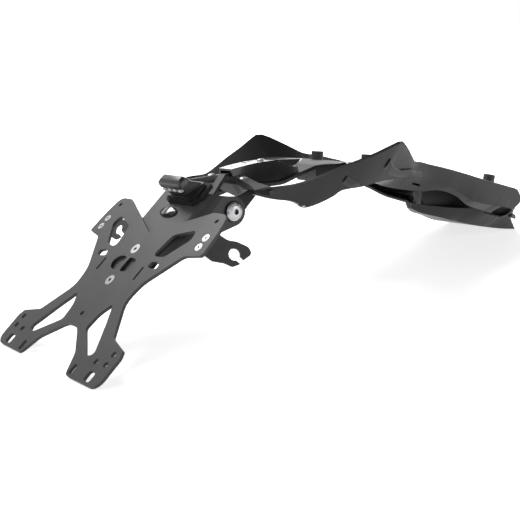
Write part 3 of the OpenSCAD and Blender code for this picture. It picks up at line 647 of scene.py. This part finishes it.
@dataclass
class Shell:
    """Closed surface through rings of points, made a mesh that rides on a body.

    Attributes:
        name: Name of the piece.
        material: Its material.
        points: Its points so far.
        faces: Its faces so far.
        count: Number of its points.
    """

    name: str
    material: bpy.types.Material
    points: List[np.ndarray] = field(default_factory=list)
    faces: List[List[int]] = field(default_factory=list)
    count: int = 0

    def loft(self, rings: np.ndarray) -> None:
        """Add a closed surface: quads between neighbouring rings and a cap on each end.

        Args:
            rings: Points as (rings, points, 3) in metres.
        """
        many, around, _ = rings.shape
        ids = self.count + np.arange(many * around).reshape(many, around)
        low, high = ids[:-1], ids[1:]
        quads = np.stack([low, np.roll(low, -1, 1), np.roll(high, -1, 1), high], axis=-1)
        self.points.append(rings.reshape(-1, 3))
        self.faces += quads.reshape(-1, 4).tolist() + [ids[0, ::-1].tolist(), ids[-1].tolist()]
        self.count += many * around

    def build(self, body: str, slot: str, edge: float = 0.0) -> bpy.types.Object:
        """Make the mesh, with smooth shading between its crisp edges.

        Args:
            body: Body that the piece rides on.
            slot: Material slot; not used.
            edge: Width of its rounded edges in millimetres, or 0 for none.

        Returns:
            The piece.
        """
        mesh = bpy.data.meshes.new(self.name)
        mesh.from_pydata(np.concatenate(self.points).tolist(), [], self.faces)
        work = bmesh.new()
        work.from_mesh(mesh)
        bmesh.ops.recalc_face_normals(work, faces=work.faces)
        piece = make_piece(self.name, mesh, work, self.material, SHELL_CREASE)
        if edge > 0:
            add_bevel(piece, edge, SHELL_CREASE, harden=True)
        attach(piece, body)
        LOG.info("built %s", self.name)
        return piece


@dataclass(frozen=True)
class PlateFrame:
    """Frame of the plate bracket: across, up the plate and out of its face, in millimetres.

    Attributes:
        tilt: Angle of the plate to the ground in degrees.
        rear: Place of its origin along the motorbike.
        up: Height of its origin.
    """

    tilt: float = 36.0
    rear: float = -187.473
    up: float = 80.896

    def place(self, points: np.ndarray) -> np.ndarray:
        """Turn points of the plate's frame into metres in the part's frame.

        Args:
            points: Rows of across, up the plate and out of it; any leading shape.

        Returns:
            The same points as x, y and z in metres.
        """
        c, s = math.cos(math.radians(self.tilt)), math.sin(math.radians(self.tilt))
        across, along, out = points[..., 0], points[..., 1], points[..., 2]
        forward, height = self.rear + along * c - out * s, self.up + along * s + out * c
        return np.stack([across, forward, height], -1) * MM


@dataclass(frozen=True)
class LightRing:
    """A level of the plate light: a rounded four-sided outline, in the plate's frame.

    Attributes:
        height: Height out of the plate.
        rear: Half width at the rear.
        front: Half width at the front.
        low: Place of the rear edge up the plate.
        high: Place of the front edge.
        inset: Distance that all the sides move in.
        radius: Corner radius.
        groove: Further distance that the rear side moves in.
    """

    height: float
    rear: float
    front: float
    low: float
    high: float
    inset: float
    radius: float
    groove: float = 0.0


@dataclass
class PlateLight:
    """Plate light: a chamfered head on a ribbed body that widens to its foot, with four prisms.

    Attributes:
        frame: Frame of the plate.
        middle: Middle of the light across the plate.
        foot: Height of the body's lower edge out of the plate.
        neck: Height where the body meets the head.
        top: Height of the head's top.
        ribs: Number of ribs round the body.
        rib_profile: Share of a rib's pitch and depth of the groove there.
        prisms: Number of prisms.
        prism_row: Width of the row of prisms.
        prism_gap: Share of a prism's pitch that is empty before it.
        prism_width: Share of the pitch that it fills.
        prism_profile: Outline of a prism: up the plate and out of it.
        prism_ends: Share of a prism's width and share of its full outline there.
    """

    frame: PlateFrame
    middle: float = 7.5
    foot: float = 4.05
    neck: float = 14.5
    top: float = 22.5
    ribs: int = 4
    rib_profile: Tuple[Span, ...] = ((0.0, 1.1), (0.35, 1.1), (0.5, 0.0), (0.9, 0.0))
    prisms: int = 4
    prism_row: float = 34.0
    prism_gap: float = 0.14
    prism_width: float = 0.66
    prism_profile: Tuple[Span, ...] = (
        (64.6, 11.0), (62.3, 11.2), (61.5, 12.2), (62.6, 14.3), (64.6, 14.3),
    )
    prism_ends: Tuple[Span, ...] = ((0.0, 0.82), (0.04, 1.0), (0.96, 1.0), (1.0, 0.82))

    def _outline(self, ring: LightRing) -> np.ndarray:
        """Return the points of a ring.

        Args:
            ring: The ring.

        Returns:
            Points as (points, 3) in the plate's frame.
        """
        rear, front = ring.rear - ring.inset, ring.front - ring.inset
        low, high = ring.low + ring.inset + ring.groove, ring.high - ring.inset
        corners = np.array([
            [self.middle - rear, low, ring.radius], [self.middle + rear, low, ring.radius],
            [self.middle + front, high, ring.radius], [self.middle - front, high, ring.radius],
        ])
        outline = rounded_outline(corners, 6)
        return np.column_stack([outline, np.full(len(outline), ring.height)])

    def _body(self) -> np.ndarray:
        """Return the rings of body and head, from the foot up.

        A rib is a ring of full size between two that are set in; the sides lean in as the height
        grows, and the head overhangs the body at the rear.
        """
        foot = (17.5, 24.0, 61.5, 82.0, 0.0, 2.5)
        rings = [LightRing(self.foot, *foot), LightRing(self.foot + 1.3, *foot)]
        pitch = (self.neck - self.foot - 1.6) / self.ribs
        for rib in range(self.ribs):
            base = self.foot + 1.35 + rib * pitch
            for lift, groove in self.rib_profile:
                share = (rib + lift) / self.ribs
                rings.append(LightRing(base + lift * pitch, 15.5, 23.0 - 5.0 * share,
                                       62.6, 82.0 - 6.5 * share, 0.8, 2.0, groove))
        rings += [
            LightRing(self.neck, 16.4, 17.8, 63.0, 75.6, 0.4, 2.0),
            LightRing(self.neck + 0.5, 18.6, 18.2, 62.4, 75.4, 0.0, 2.2),
            LightRing(self.neck + 4.6, 19.0, 17.6, 62.6, 74.2, 0.0, 2.2),
            LightRing(self.top - 1.6, 18.4, 16.8, 63.6, 73.4, 0.0, 2.2),
            LightRing(self.top - 0.3, 16.4, 15.6, 66.0, 72.8, 0.0, 2.0),
            LightRing(self.top, 15.8, 15.2, 66.6, 72.4, 0.2, 1.8),
        ]
        return np.stack([self._outline(ring) for ring in rings])

    def _prism(self, number: int) -> np.ndarray:
        """Return the rings of a prism, across the plate.

        Args:
            number: Number of the prism, from 0.

        Returns:
            Points as (rings, points, 3) in the plate's frame.
        """
        pitch = self.prism_row / self.prisms
        start = self.middle - self.prism_row / 2 + (number + self.prism_gap) * pitch
        ends = np.asarray(self.prism_ends)
        across = start + self.prism_width * pitch * ends[:, 0]
        profile = np.asarray(self.prism_profile)
        section = profile[0] + (profile - profile[0])[None] * ends[:, 1, None, None]
        place = np.broadcast_to(across[:, None, None], (len(ends), len(profile), 1))
        return np.concatenate([place, section], -1)

    def build(self, materials: Materials) -> None:
        """Build the housing and the prisms, and hide the plain solids they stand for.

        Args:
            materials: Material library.
        """
        housing = Shell("light_shell", materials.get(Finish.LIGHT_PLASTIC))
        housing.loft(self.frame.place(self._body()))
        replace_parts(housing.build("plate_assembly", "moulding", 0.25), "light_housing")
        row = Shell("light_prisms", materials.get(Finish.LENS))
        for number in range(self.prisms):
            row.loft(self.frame.place(self._prism(number)))
        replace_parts(row.build("plate_assembly", "lens"), "light_lens")


@dataclass(frozen=True)
class TrayRails:
    """Rails of the undertray's walls, as the solid has them.

    A row is the distance forward of the pivot, the half width and the height, in millimetres.

    Attributes:
        pivot: Place of the pivot along the motorbike and its height.
        edge: Upper edge of the wall.
        fold: Line where the wall turns inwards.
        hem: Lower edge of the wall.
    """

    pivot: Span = (-105.523, 103.354)
    edge: Tuple[Point, ...] = (
        (16, 61, 18.3), (24, 71, 18.4), (34, 76, 18.2), (55, 77.5, 17.8), (75, 86, 21.5),
        (95, 94, 26.6), (124, 105, 33), (146, 112.4, 39.4), (156, 114.4, 41.6), (164, 110.5, 39),
        (184, 98, 25.2), (196, 90, 16.2), (202, 86.5, 13.6), (212, 85, 11.6), (226, 84, 6.5),
        (253, 85.5, -3.5), (300, 85, -21.5), (365, 84, -46), (392, 84, -56),
    )
    fold: Tuple[Point, ...] = (
        (16, 60.5, 14), (24, 66, 10.2), (34, 70, 6.5), (50, 72.5, 2), (60, 74, -4.6),
        (66, 74.5, -5.4), (80, 76.5, -3.6), (95, 80, 0), (103, 83, 3.2), (124, 86, 2.6),
        (156, 87, 3), (187, 84.5, -0.5), (203, 83.3, -3.5), (226, 81, -8), (253, 79, -20),
        (279, 75.5, -34.5), (290, 75, -41.5), (302, 75.5, -48), (324, 76, -56), (344, 76, -62),
        (367, 76, -69), (392, 76, -78),
    )
    hem: Tuple[Point, ...] = (
        (16, 56.5, 13.6), (24, 62, 9.8), (34, 66, 6.1), (50, 68.5, 1.6), (60, 70, -5),
        (66, 70.5, -5.8), (80, 72.5, -4), (95, 76, -0.4), (103, 79, 2.8), (124, 81.5, 1.9),
        (150, 81, 1.6), (156, 76, -1.5), (183, 73, -11), (217, 72, -20.2), (252, 72, -26.4),
        (279, 70, -38.6), (290, 67, -46), (302, 64.5, -53.5), (324, 63.5, -63), (344, 63.5, -71),
        (367, 63.5, -79.5), (392, 63.5, -89),
    )

    @staticmethod
    def _along(rows: Tuple[Point, ...], s: np.ndarray) -> np.ndarray:
        """Follow a rail smoothly.

        Between two rows the value is (2t^3-3t^2+1) b + (t^3-2t^2+t) sb + (3t^2-2t^3) d +
        (t^3-t^2) sd, with slopes sb and sd from the rows on both sides.

        Args:
            rows: The rail.
            s: Distances forward of the pivot.

        Returns:
            Half width and height, with one more axis than s.
        """
        table = np.asarray(rows, float)
        last = len(table) - 1
        at = np.clip(np.searchsorted(table[:, 0], s, side="right") - 1, 0, last - 1)
        a, b = table[np.maximum(at - 1, 0)], table[at]
        d, e = table[at + 1], table[np.minimum(at + 2, last)]
        span = (d[..., :1] - b[..., :1])
        t = np.clip((np.asarray(s)[..., None] - b[..., :1]) / span, 0.0, 1.0)
        sb = (d[..., 1:] - a[..., 1:]) / (d[..., :1] - a[..., :1]) * span
        sd = (e[..., 1:] - b[..., 1:]) / (e[..., :1] - b[..., :1]) * span
        return ((2 * t ** 3 - 3 * t ** 2 + 1) * b[..., 1:] + (t ** 3 - 2 * t ** 2 + t) * sb
                + (3 * t ** 2 - 2 * t ** 3) * d[..., 1:] + (t ** 3 - t ** 2) * sd)

    def wall(self, s: np.ndarray, t: np.ndarray) -> np.ndarray:
        """Place points on the wall's outer face.

        Args:
            s: Distances forward of the pivot.
            t: Place across the wall: 0 at the edge, 1 at the fold, 2 at the hem.

        Returns:
            Points as x, forward of the pivot and height, in millimetres, on the right side.
        """
        upper, middle, lower = (self._along(rows, s) for rows in (self.edge, self.fold, self.hem))
        share = t[..., None]
        above = upper + share * (middle - upper)
        below = middle + (share - 1) * (lower - middle)
        flat = np.where(share <= 1, above, below)
        return np.stack([flat[..., 0], s, flat[..., 1]], -1)

    def at_height(self, s: np.ndarray, height: np.ndarray) -> np.ndarray:
        """Return where the wall above its fold has a height.

        Args:
            s: Distances forward of the pivot.
            height: Heights above the pivot.

        Returns:
            Places across the wall from 0 to 1.
        """
        upper, middle = self._along(self.edge, s)[..., 1], self._along(self.fold, s)[..., 1]
        return np.clip((upper - height) / (upper - middle), 0.0, 1.0)

    def across(self, s: np.ndarray, height: np.ndarray) -> np.ndarray:
        """Return the half width of the wall's outer face at a height.

        Args:
            s: Distances forward of the pivot.
            height: Heights above the pivot.

        Returns:
            The half widths.
        """
        upper, middle, lower = (self._along(rows, s) for rows in (self.edge, self.fold, self.hem))
        other = np.where((height > middle[..., 1])[..., None], upper, lower)
        share = np.clip((height - middle[..., 1]) / (other[..., 1] - middle[..., 1]), 0.0, 1.0)
        return middle[..., 0] + share * (other[..., 0] - middle[..., 0])

    def pad(self, s: np.ndarray, t: np.ndarray, proud: np.ndarray, sunk: float = 0.6) -> np.ndarray:
        """Return the rings of a closed pad that lies on the wall's outer face.

        The outer side is the wall moved out along its normal by proud, the inner side is the wall
        moved in by sunk.

        Args:
            s: Grid of distances forward of the pivot, one row per ring.
            t: Grid of places across the wall.
            proud: Grid of heights over the wall.
            sunk: Depth of the pad's back in the wall.

        Returns:
            Points as (rings, points, 3) in millimetres in the pivot's frame, on the right side.
        """
        place = self.wall(s, t)
        forward = self.wall(s + 0.5, t) - self.wall(s - 0.5, t)
        upward = self.wall(s, t - 0.02) - self.wall(s, t + 0.02)
        normal = np.cross(forward, upward)
        normal /= np.linalg.norm(normal, axis=-1, keepdims=True)
        normal *= np.where(normal[..., :1] < 0, -1.0, 1.0)
        outer = place + normal * proud[..., None]
        inner = place - normal * sunk
        return np.concatenate([outer, inner[:, ::-1]], axis=1)

    def seat(self, points: np.ndarray, side: float) -> np.ndarray:
        """Turn points of the pivot's frame into metres in the part's frame.

        Args:
            points: Points of the right side in millimetres.
            side: 1 for the right side and -1 for the left.

        Returns:
            The points in metres.
        """
        return (points * np.array([side, 1.0, 1.0]) + np.array([0.0, *self.pivot])) * MM


@dataclass(frozen=True)
class WallHole:
    """A long hole in both walls of the undertray.

    Attributes:
        forward: Its middle forward of the pivot.
        height: Its middle above the pivot.
        half: Half its straight length.
        radius: Radius of its round ends.
        depth: Depth of the cup behind it.
        tilt: Angle of its length to level, in degrees.
    """

    forward: float
    height: float
    half: float
    radius: float
    depth: float
    tilt: float = -20.0


@dataclass
class TrayInserts:
    """Parts set into the undertray: the rim of its openings, and behind each wall hole a black cup
    that is painted shade for the shadow inside the hole.

    Attributes:
        rails: Rails of the walls.
        well: Corners of the right opening in the deck, from its rear end: across, forward and
            corner radius.
        cross: Place where the rim turns across the spine: across and forward.
        deck: Height of the deck: forward of the pivot and height.
        rim: Depth of the rim under its top.
        thick: Thickness of the rim.
        overlap: Distance that its face stands into the opening.
        proud: Height of the rim over the deck.
        sunk: Depth of its top under the spine.
        spine: Distances across between which the top goes from under the spine to over the deck.
        growth: Distances forward between which the rim grows to its depth.
        least: Share of its depth that it has at its rear end.
        holes: The long holes in each wall.
    """

    rails: TrayRails
    well: Tuple[Point, ...] = ((48, 66, 6), (60, 80, 8), (56, 138, 8), (34, 154, 5))
    cross: Span = (15.5, 129)
    deck: Tuple[Span, ...] = ((62, 10.2), (80, 12.5), (110, 16), (131, 19), (154, 18), (179, 13.8))
    rim: float = 15.0
    thick: float = 2.0
    overlap: float = 0.1
    proud: float = 1.3
    sunk: float = 1.6
    spine: Span = (24.0, 34.0)
    growth: Span = (60.0, 90.0)
    least: float = 0.15
    holes: Tuple[WallHole, ...] = (
        WallHole(354.0, -70.3, 8.0, 5.0, 6.5), WallHole(209.5, -11.5, 5.9, 1.1, 4.5),
    )

    def _outline(self) -> np.ndarray:
        """Return the rim's line from above, from its rear end to the middle of the spine.

        It starts and stops following the rounded outline halfway round its first and last corner.
        """
        half = 4
        rounded = rounded_outline(np.asarray(self.well, float), 2 * half + 1)
        middle = (self.overlap, self.cross[1])
        return np.vstack([rounded[half + 1:-half], self.cross, middle])

    def _rim(self) -> np.ndarray:
        """Return the rings of the rim: a thin wall that hangs from the edge of the opening.

        The outline of the opening and the same outline moved out by the thickness are carried
        from just over the deck, or just under the spine, down to the rim's lower edge.
        """
        outline = self._outline()
        step = np.gradient(outline, axis=0)
        outward = np.column_stack([step[:, 1], -step[:, 0]])
        outward /= np.linalg.norm(outward, axis=1, keepdims=True)
        line = outline - self.overlap * outward
        outer = line + self.thick * outward
        table = np.asarray(self.deck)
        over = np.interp(line[:, 0], self.spine, (-self.sunk, self.proud))
        top = np.interp(line[:, 1], table[:, 0], table[:, 1]) + over
        grown = (line[:, 1] - self.growth[0]) / (self.growth[1] - self.growth[0])
        low = top - self.rim * np.clip(grown, self.least, 1.0)
        return np.stack([
            np.column_stack([line, top]), np.column_stack([line, low]),
            np.column_stack([outer, low]), np.column_stack([outer, top]),
        ], axis=1)

    def _oval(self, hole: WallHole, grow: float, depth: float) -> np.ndarray:
        """Return an oval ring behind the wall's outer face.

        Args:
            hole: The hole.
            grow: Distance added to the hole's radius.
            depth: Distance inwards from the wall's face.

        Returns:
            Points as (points, 3).
        """
        turn = np.linspace(0.0, 2 * np.pi, 48, endpoint=False)
        along = hole.half * np.sign(np.cos(turn)) + (hole.radius + grow) * np.cos(turn)
        up = (hole.radius + grow) * np.sin(turn)
        c, s = math.cos(math.radians(hole.tilt)), math.sin(math.radians(hole.tilt))
        forward, height = hole.forward + along * c - up * s, hole.height + along * s + up * c
        return np.column_stack([self.rails.across(forward, height) - depth, forward, height])

    def _shade_cup(self, hole: WallHole) -> np.ndarray:
        """Return the rings of a black cup, painted shade for the shadow inside a hole, from the
        middle of its floor out to its rim and back outside.

        Args:
            hole: The hole that the cup closes.

        Returns:
            Points as (rings, points, 3).
        """
        deep, small = hole.depth, 0.7 * hole.radius
        # Distance added to the hole's radius and distance behind the wall's face.
        levels = (
            (-small, deep), (-0.2 * small, 0.9 * deep), (-0.05, 0.5),
            (1.1, 2.4), (0.1, deep + 0.5), (-small, deep + 1.5),
        )
        return np.stack([self._oval(hole, *level) for level in levels])

    def build(self, materials: Materials) -> None:
        """Build the inserts of both sides.

        Args:
            materials: Material library.
        """
        for side, name in SIDES:
            rim = Shell(f"opening_rim_{name}", materials.get(Finish.MOULDING))
            rim.loft(self.rails.seat(self._rim(), side))
            rim.build("undertray_assembly", "moulding", 0.3)
            # painted shade: a black rubber cup behind each wall hole stands for the shadow inside
            # it
            shade_cups = Shell(f"painted_shade_cups_{name}", materials.get(Finish.RUBBER))
            for hole in self.holes:
                shade_cups.loft(self.rails.seat(self._shade_cup(hole), side))
            shade_cups.build("undertray_assembly", "rubber")


@dataclass(frozen=True)
class Shoulder:
    """A raised pad on a wall, between a line and the fold.

    Attributes:
        along: First and last distance forward of the pivot.
        top: Rows of distance and height of the line.
    """

    along: Span
    top: Tuple[Span, ...]


@dataclass
class WallTrim:
    """Raised shoulders and thin lips on the undertray's walls.

    Attributes:
        rails: Rails of the walls.
        shoulders: The shoulders of each wall.
        step: Height of a shoulder over the wall.
        slant: Distance that a shoulder's rear end leans forward at its line.
        lip: First and last distance forward of the lip.
        drop: Height of the lip under the hem.
    """

    rails: TrayRails
    shoulders: Tuple[Shoulder, ...] = (
        Shoulder((95.0, 122.0), ((95, 17.5), (104, 17.5), (112, 12), (122, 6))),
        Shoulder((141.0, 214.0), ((141, 27.5), (150, 27), (155, 21), (163, 15.5), (173, 11),
                                  (192, 8.5), (214, 2.5))),
    )
    step: float = 1.5
    slant: float = 8.0
    lip: Span = (57.0, 99.0)
    drop: float = 1.7

    def _shoulder(self, shoulder: Shoulder) -> np.ndarray:
        """Return a shoulder.

        Its height over the wall is the step at the line and falls to nothing at the fold; its
        rear end is square and leans by the slant, its front end fades out.

        Args:
            shoulder: The shoulder.

        Returns:
            The rings of the pad.
        """
        rows = np.linspace(0.0, 1.0, 49)[:, None]
        across = np.linspace(0.0, 1.0, 13)[None, :]
        first, last = shoulder.along
        near_fold, fade_from, fade_length, least = 0.985, 0.55, 0.45, 0.02
        s = first + rows * (last - first) + self.slant * (1 - across) * (1 - rows)
        line = np.asarray(shoulder.top, float)
        start = self.rails.at_height(s, np.interp(s, line[:, 0], line[:, 1]))
        t = start + across * (near_fold - start)
        fade = 1 - np.clip((rows - fade_from) / fade_length, 0.0, 1.0) ** 2
        rear = np.clip((0.42 - across) / 0.12 + rows * 7.0, 0.0, 1.0)
        slope = (1 - across ** 2) * np.minimum(1.0, 0.55 + across * 6)
        return self.rails.pad(s, t, np.maximum(self.step * fade * rear * slope, least))

    def _lip(self) -> np.ndarray:
        """Return the rings of the lip, which hangs under the hem and fades out at both ends."""
        first, last = self.lip
        s = np.linspace(first, last, 41)
        fade = np.sin(np.pi * np.clip((s - first) / (last - first), 0, 1)) ** 0.35
        hem = self.rails.wall(s, np.full_like(s, 2.0))
        out = self.rails.wall(s, np.full_like(s, 1.0)) + np.array([-0.6, 0.0, 0.0])
        down = np.outer(-self.drop * fade, (0.0, 0.0, 1.0))
        return np.stack([out, out + down, hem + down * 0.9, hem], axis=1)

    def build(self, materials: Materials) -> None:
        """Build the trim of both sides.

        Args:
            materials: Material library.
        """
        for side, name in SIDES:
            trim = Shell(f"wall_trim_{name}", materials.get(Finish.MOULDING))
            for shoulder in self.shoulders:
                trim.loft(self.rails.seat(self._shoulder(shoulder), side))
            trim.loft(self.rails.seat(self._lip(), side))
            trim.build("undertray_assembly", "moulding", 0.3)


@dataclass
class Studio:
    """Floor, soft lights, world and camera.

    Attributes:
        view: Place and aim of the camera.
        floor_half: Half the width of the floor in metres.
        floor_reach: Distances in metres between which the floor's glow grows.
        floor_glow: Glow in the middle and far out.
        world_light: Strength of the world's own light.
        dome_rise: Share of the way up between which the world darkens.
        dome_grey: Brightness at the horizon and overhead.
    """

    view: CameraView
    floor_half: float = 6.0
    floor_reach: Span = (0.45, 1.6)
    floor_glow: Span = (0.74, 1.0)
    world_light: float = 0.22
    dome_rise: Span = (0.18, 0.75)
    dome_grey: Span = (1.0, 0.2)

    def build(self) -> None:
        """Build the floor, the lights, the world and the camera."""
        self._floor()
        for light in LIGHTS:
            self._light(light)
        self._world()
        self._camera()

    def _floor(self) -> None:
        """Lay a pale floor under the part, a little darker in the middle than far out."""
        half = self.floor_half
        corners = [(-half, -half, 0), (half, -half, 0), (half, half, 0), (-half, half, 0)]
        mesh = bpy.data.meshes.new("floor")
        mesh.from_pydata(corners, [], [(0, 1, 2, 3)])
        floor = bpy.data.objects.new("floor", mesh)
        bpy.context.scene.collection.objects.link(floor)
        graph = NodeGraph("studio_floor")
        tree = graph.tree
        graph.link(graph.tint(graph.noise(Noise(3.0, 2.0)), (0.93,) * 3, (0.95,) * 3), "Base Color")
        graph.set({"Roughness": 0.9, "Specular IOR Level": 0.1})
        graph.shader.inputs["Emission Color"].default_value = (1.0, 1.0, 1.0, 1.0)
        distance = tree.nodes.new("ShaderNodeVectorMath")
        distance.operation = "LENGTH"
        tree.links.new(graph.coords.outputs["Object"], distance.inputs[0])
        glow = map_range(tree, distance.outputs["Value"], self.floor_reach, self.floor_glow, True)
        glow = combine(tree, "MULTIPLY", glow, seen_directly(tree, 1.0, 0.0))
        graph.link(glow, "Emission Strength")
        mesh.materials.append(graph.material)

    @staticmethod
    def _light(spec: AreaLight) -> None:
        """Add one area light.

        Args:
            spec: The light.
        """
        data = bpy.data.lights.new(spec.name, "AREA")
        data.shape = "RECTANGLE"
        data.size, data.size_y = spec.size
        data.energy = spec.power
        lamp = bpy.data.objects.new(spec.name, data)
        lamp.location = spec.place
        aim = Vector(spec.target) - Vector(spec.place)
        lamp.rotation_euler = aim.to_track_quat("-Z", "Y").to_euler()
        bpy.context.scene.collection.objects.link(lamp)

    def _world(self) -> None:
        """Light the scene from all round, white at the horizon and darker overhead."""
        scene = bpy.context.scene
        world = bpy.data.worlds.new("studio")
        world.use_nodes = True
        tree = world.node_tree
        background = tree.nodes["Background"]
        strength = seen_directly(tree, 1.0, self.world_light)
        tree.links.new(strength, background.inputs["Strength"])
        place = tree.nodes.new("ShaderNodeTexCoord")
        height = tree.nodes.new("ShaderNodeSeparateXYZ")
        tree.links.new(place.outputs["Generated"], height.inputs["Vector"])
        dome = map_range(tree, height.outputs["Z"], self.dome_rise, self.dome_grey, True)
        tree.links.new(dome, background.inputs["Color"])
        scene.world = world
        scene.view_settings.view_transform = "Standard"

    def _camera(self) -> None:
        """Set the camera at the photograph's view."""
        data = bpy.data.cameras.new("camera")
        data.sensor_width = self.view.sensor
        data.sensor_fit = "HORIZONTAL"
        data.lens = self.view.lens
        data.clip_start = 0.01
        data.clip_end = 50.0
        camera = bpy.data.objects.new("camera", data)
        right = Vector(self.view.right).normalized()
        up = -Vector(self.view.down).normalized()
        back = right.cross(up)
        place = Matrix((right, up, back)).transposed().to_4x4()
        place.translation = Vector(self.view.eye)
        camera.matrix_world = place
        bpy.context.scene.collection.objects.link(camera)
        bpy.context.scene.camera = camera


def main() -> None:
    """Load the frame, dress it and set the studio."""
    logging.basicConfig(level=logging.INFO)
    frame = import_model()
    materials = Materials()
    dresser = NodeDresser(frame["nodes"], materials)
    for look in LOOKS:
        dresser.dress(look)
    dresser.skin("undertray", "undertray_assembly", Finish.GRAINED, 0.5)
    dresser.skin("inner_mudguard", "undertray_assembly", Finish.MATT_MOULDING, 0.5)
    dresser.skin("wiring_channel", "undertray_assembly", Finish.MOULDING, 0.4)
    PlateLight(PlateFrame()).build(materials)
    rails = TrayRails()
    WallTrim(rails).build(materials)
    TrayInserts(rails).build(materials)
    Studio(CameraView()).build()


if __name__ == "__main__":
    main()
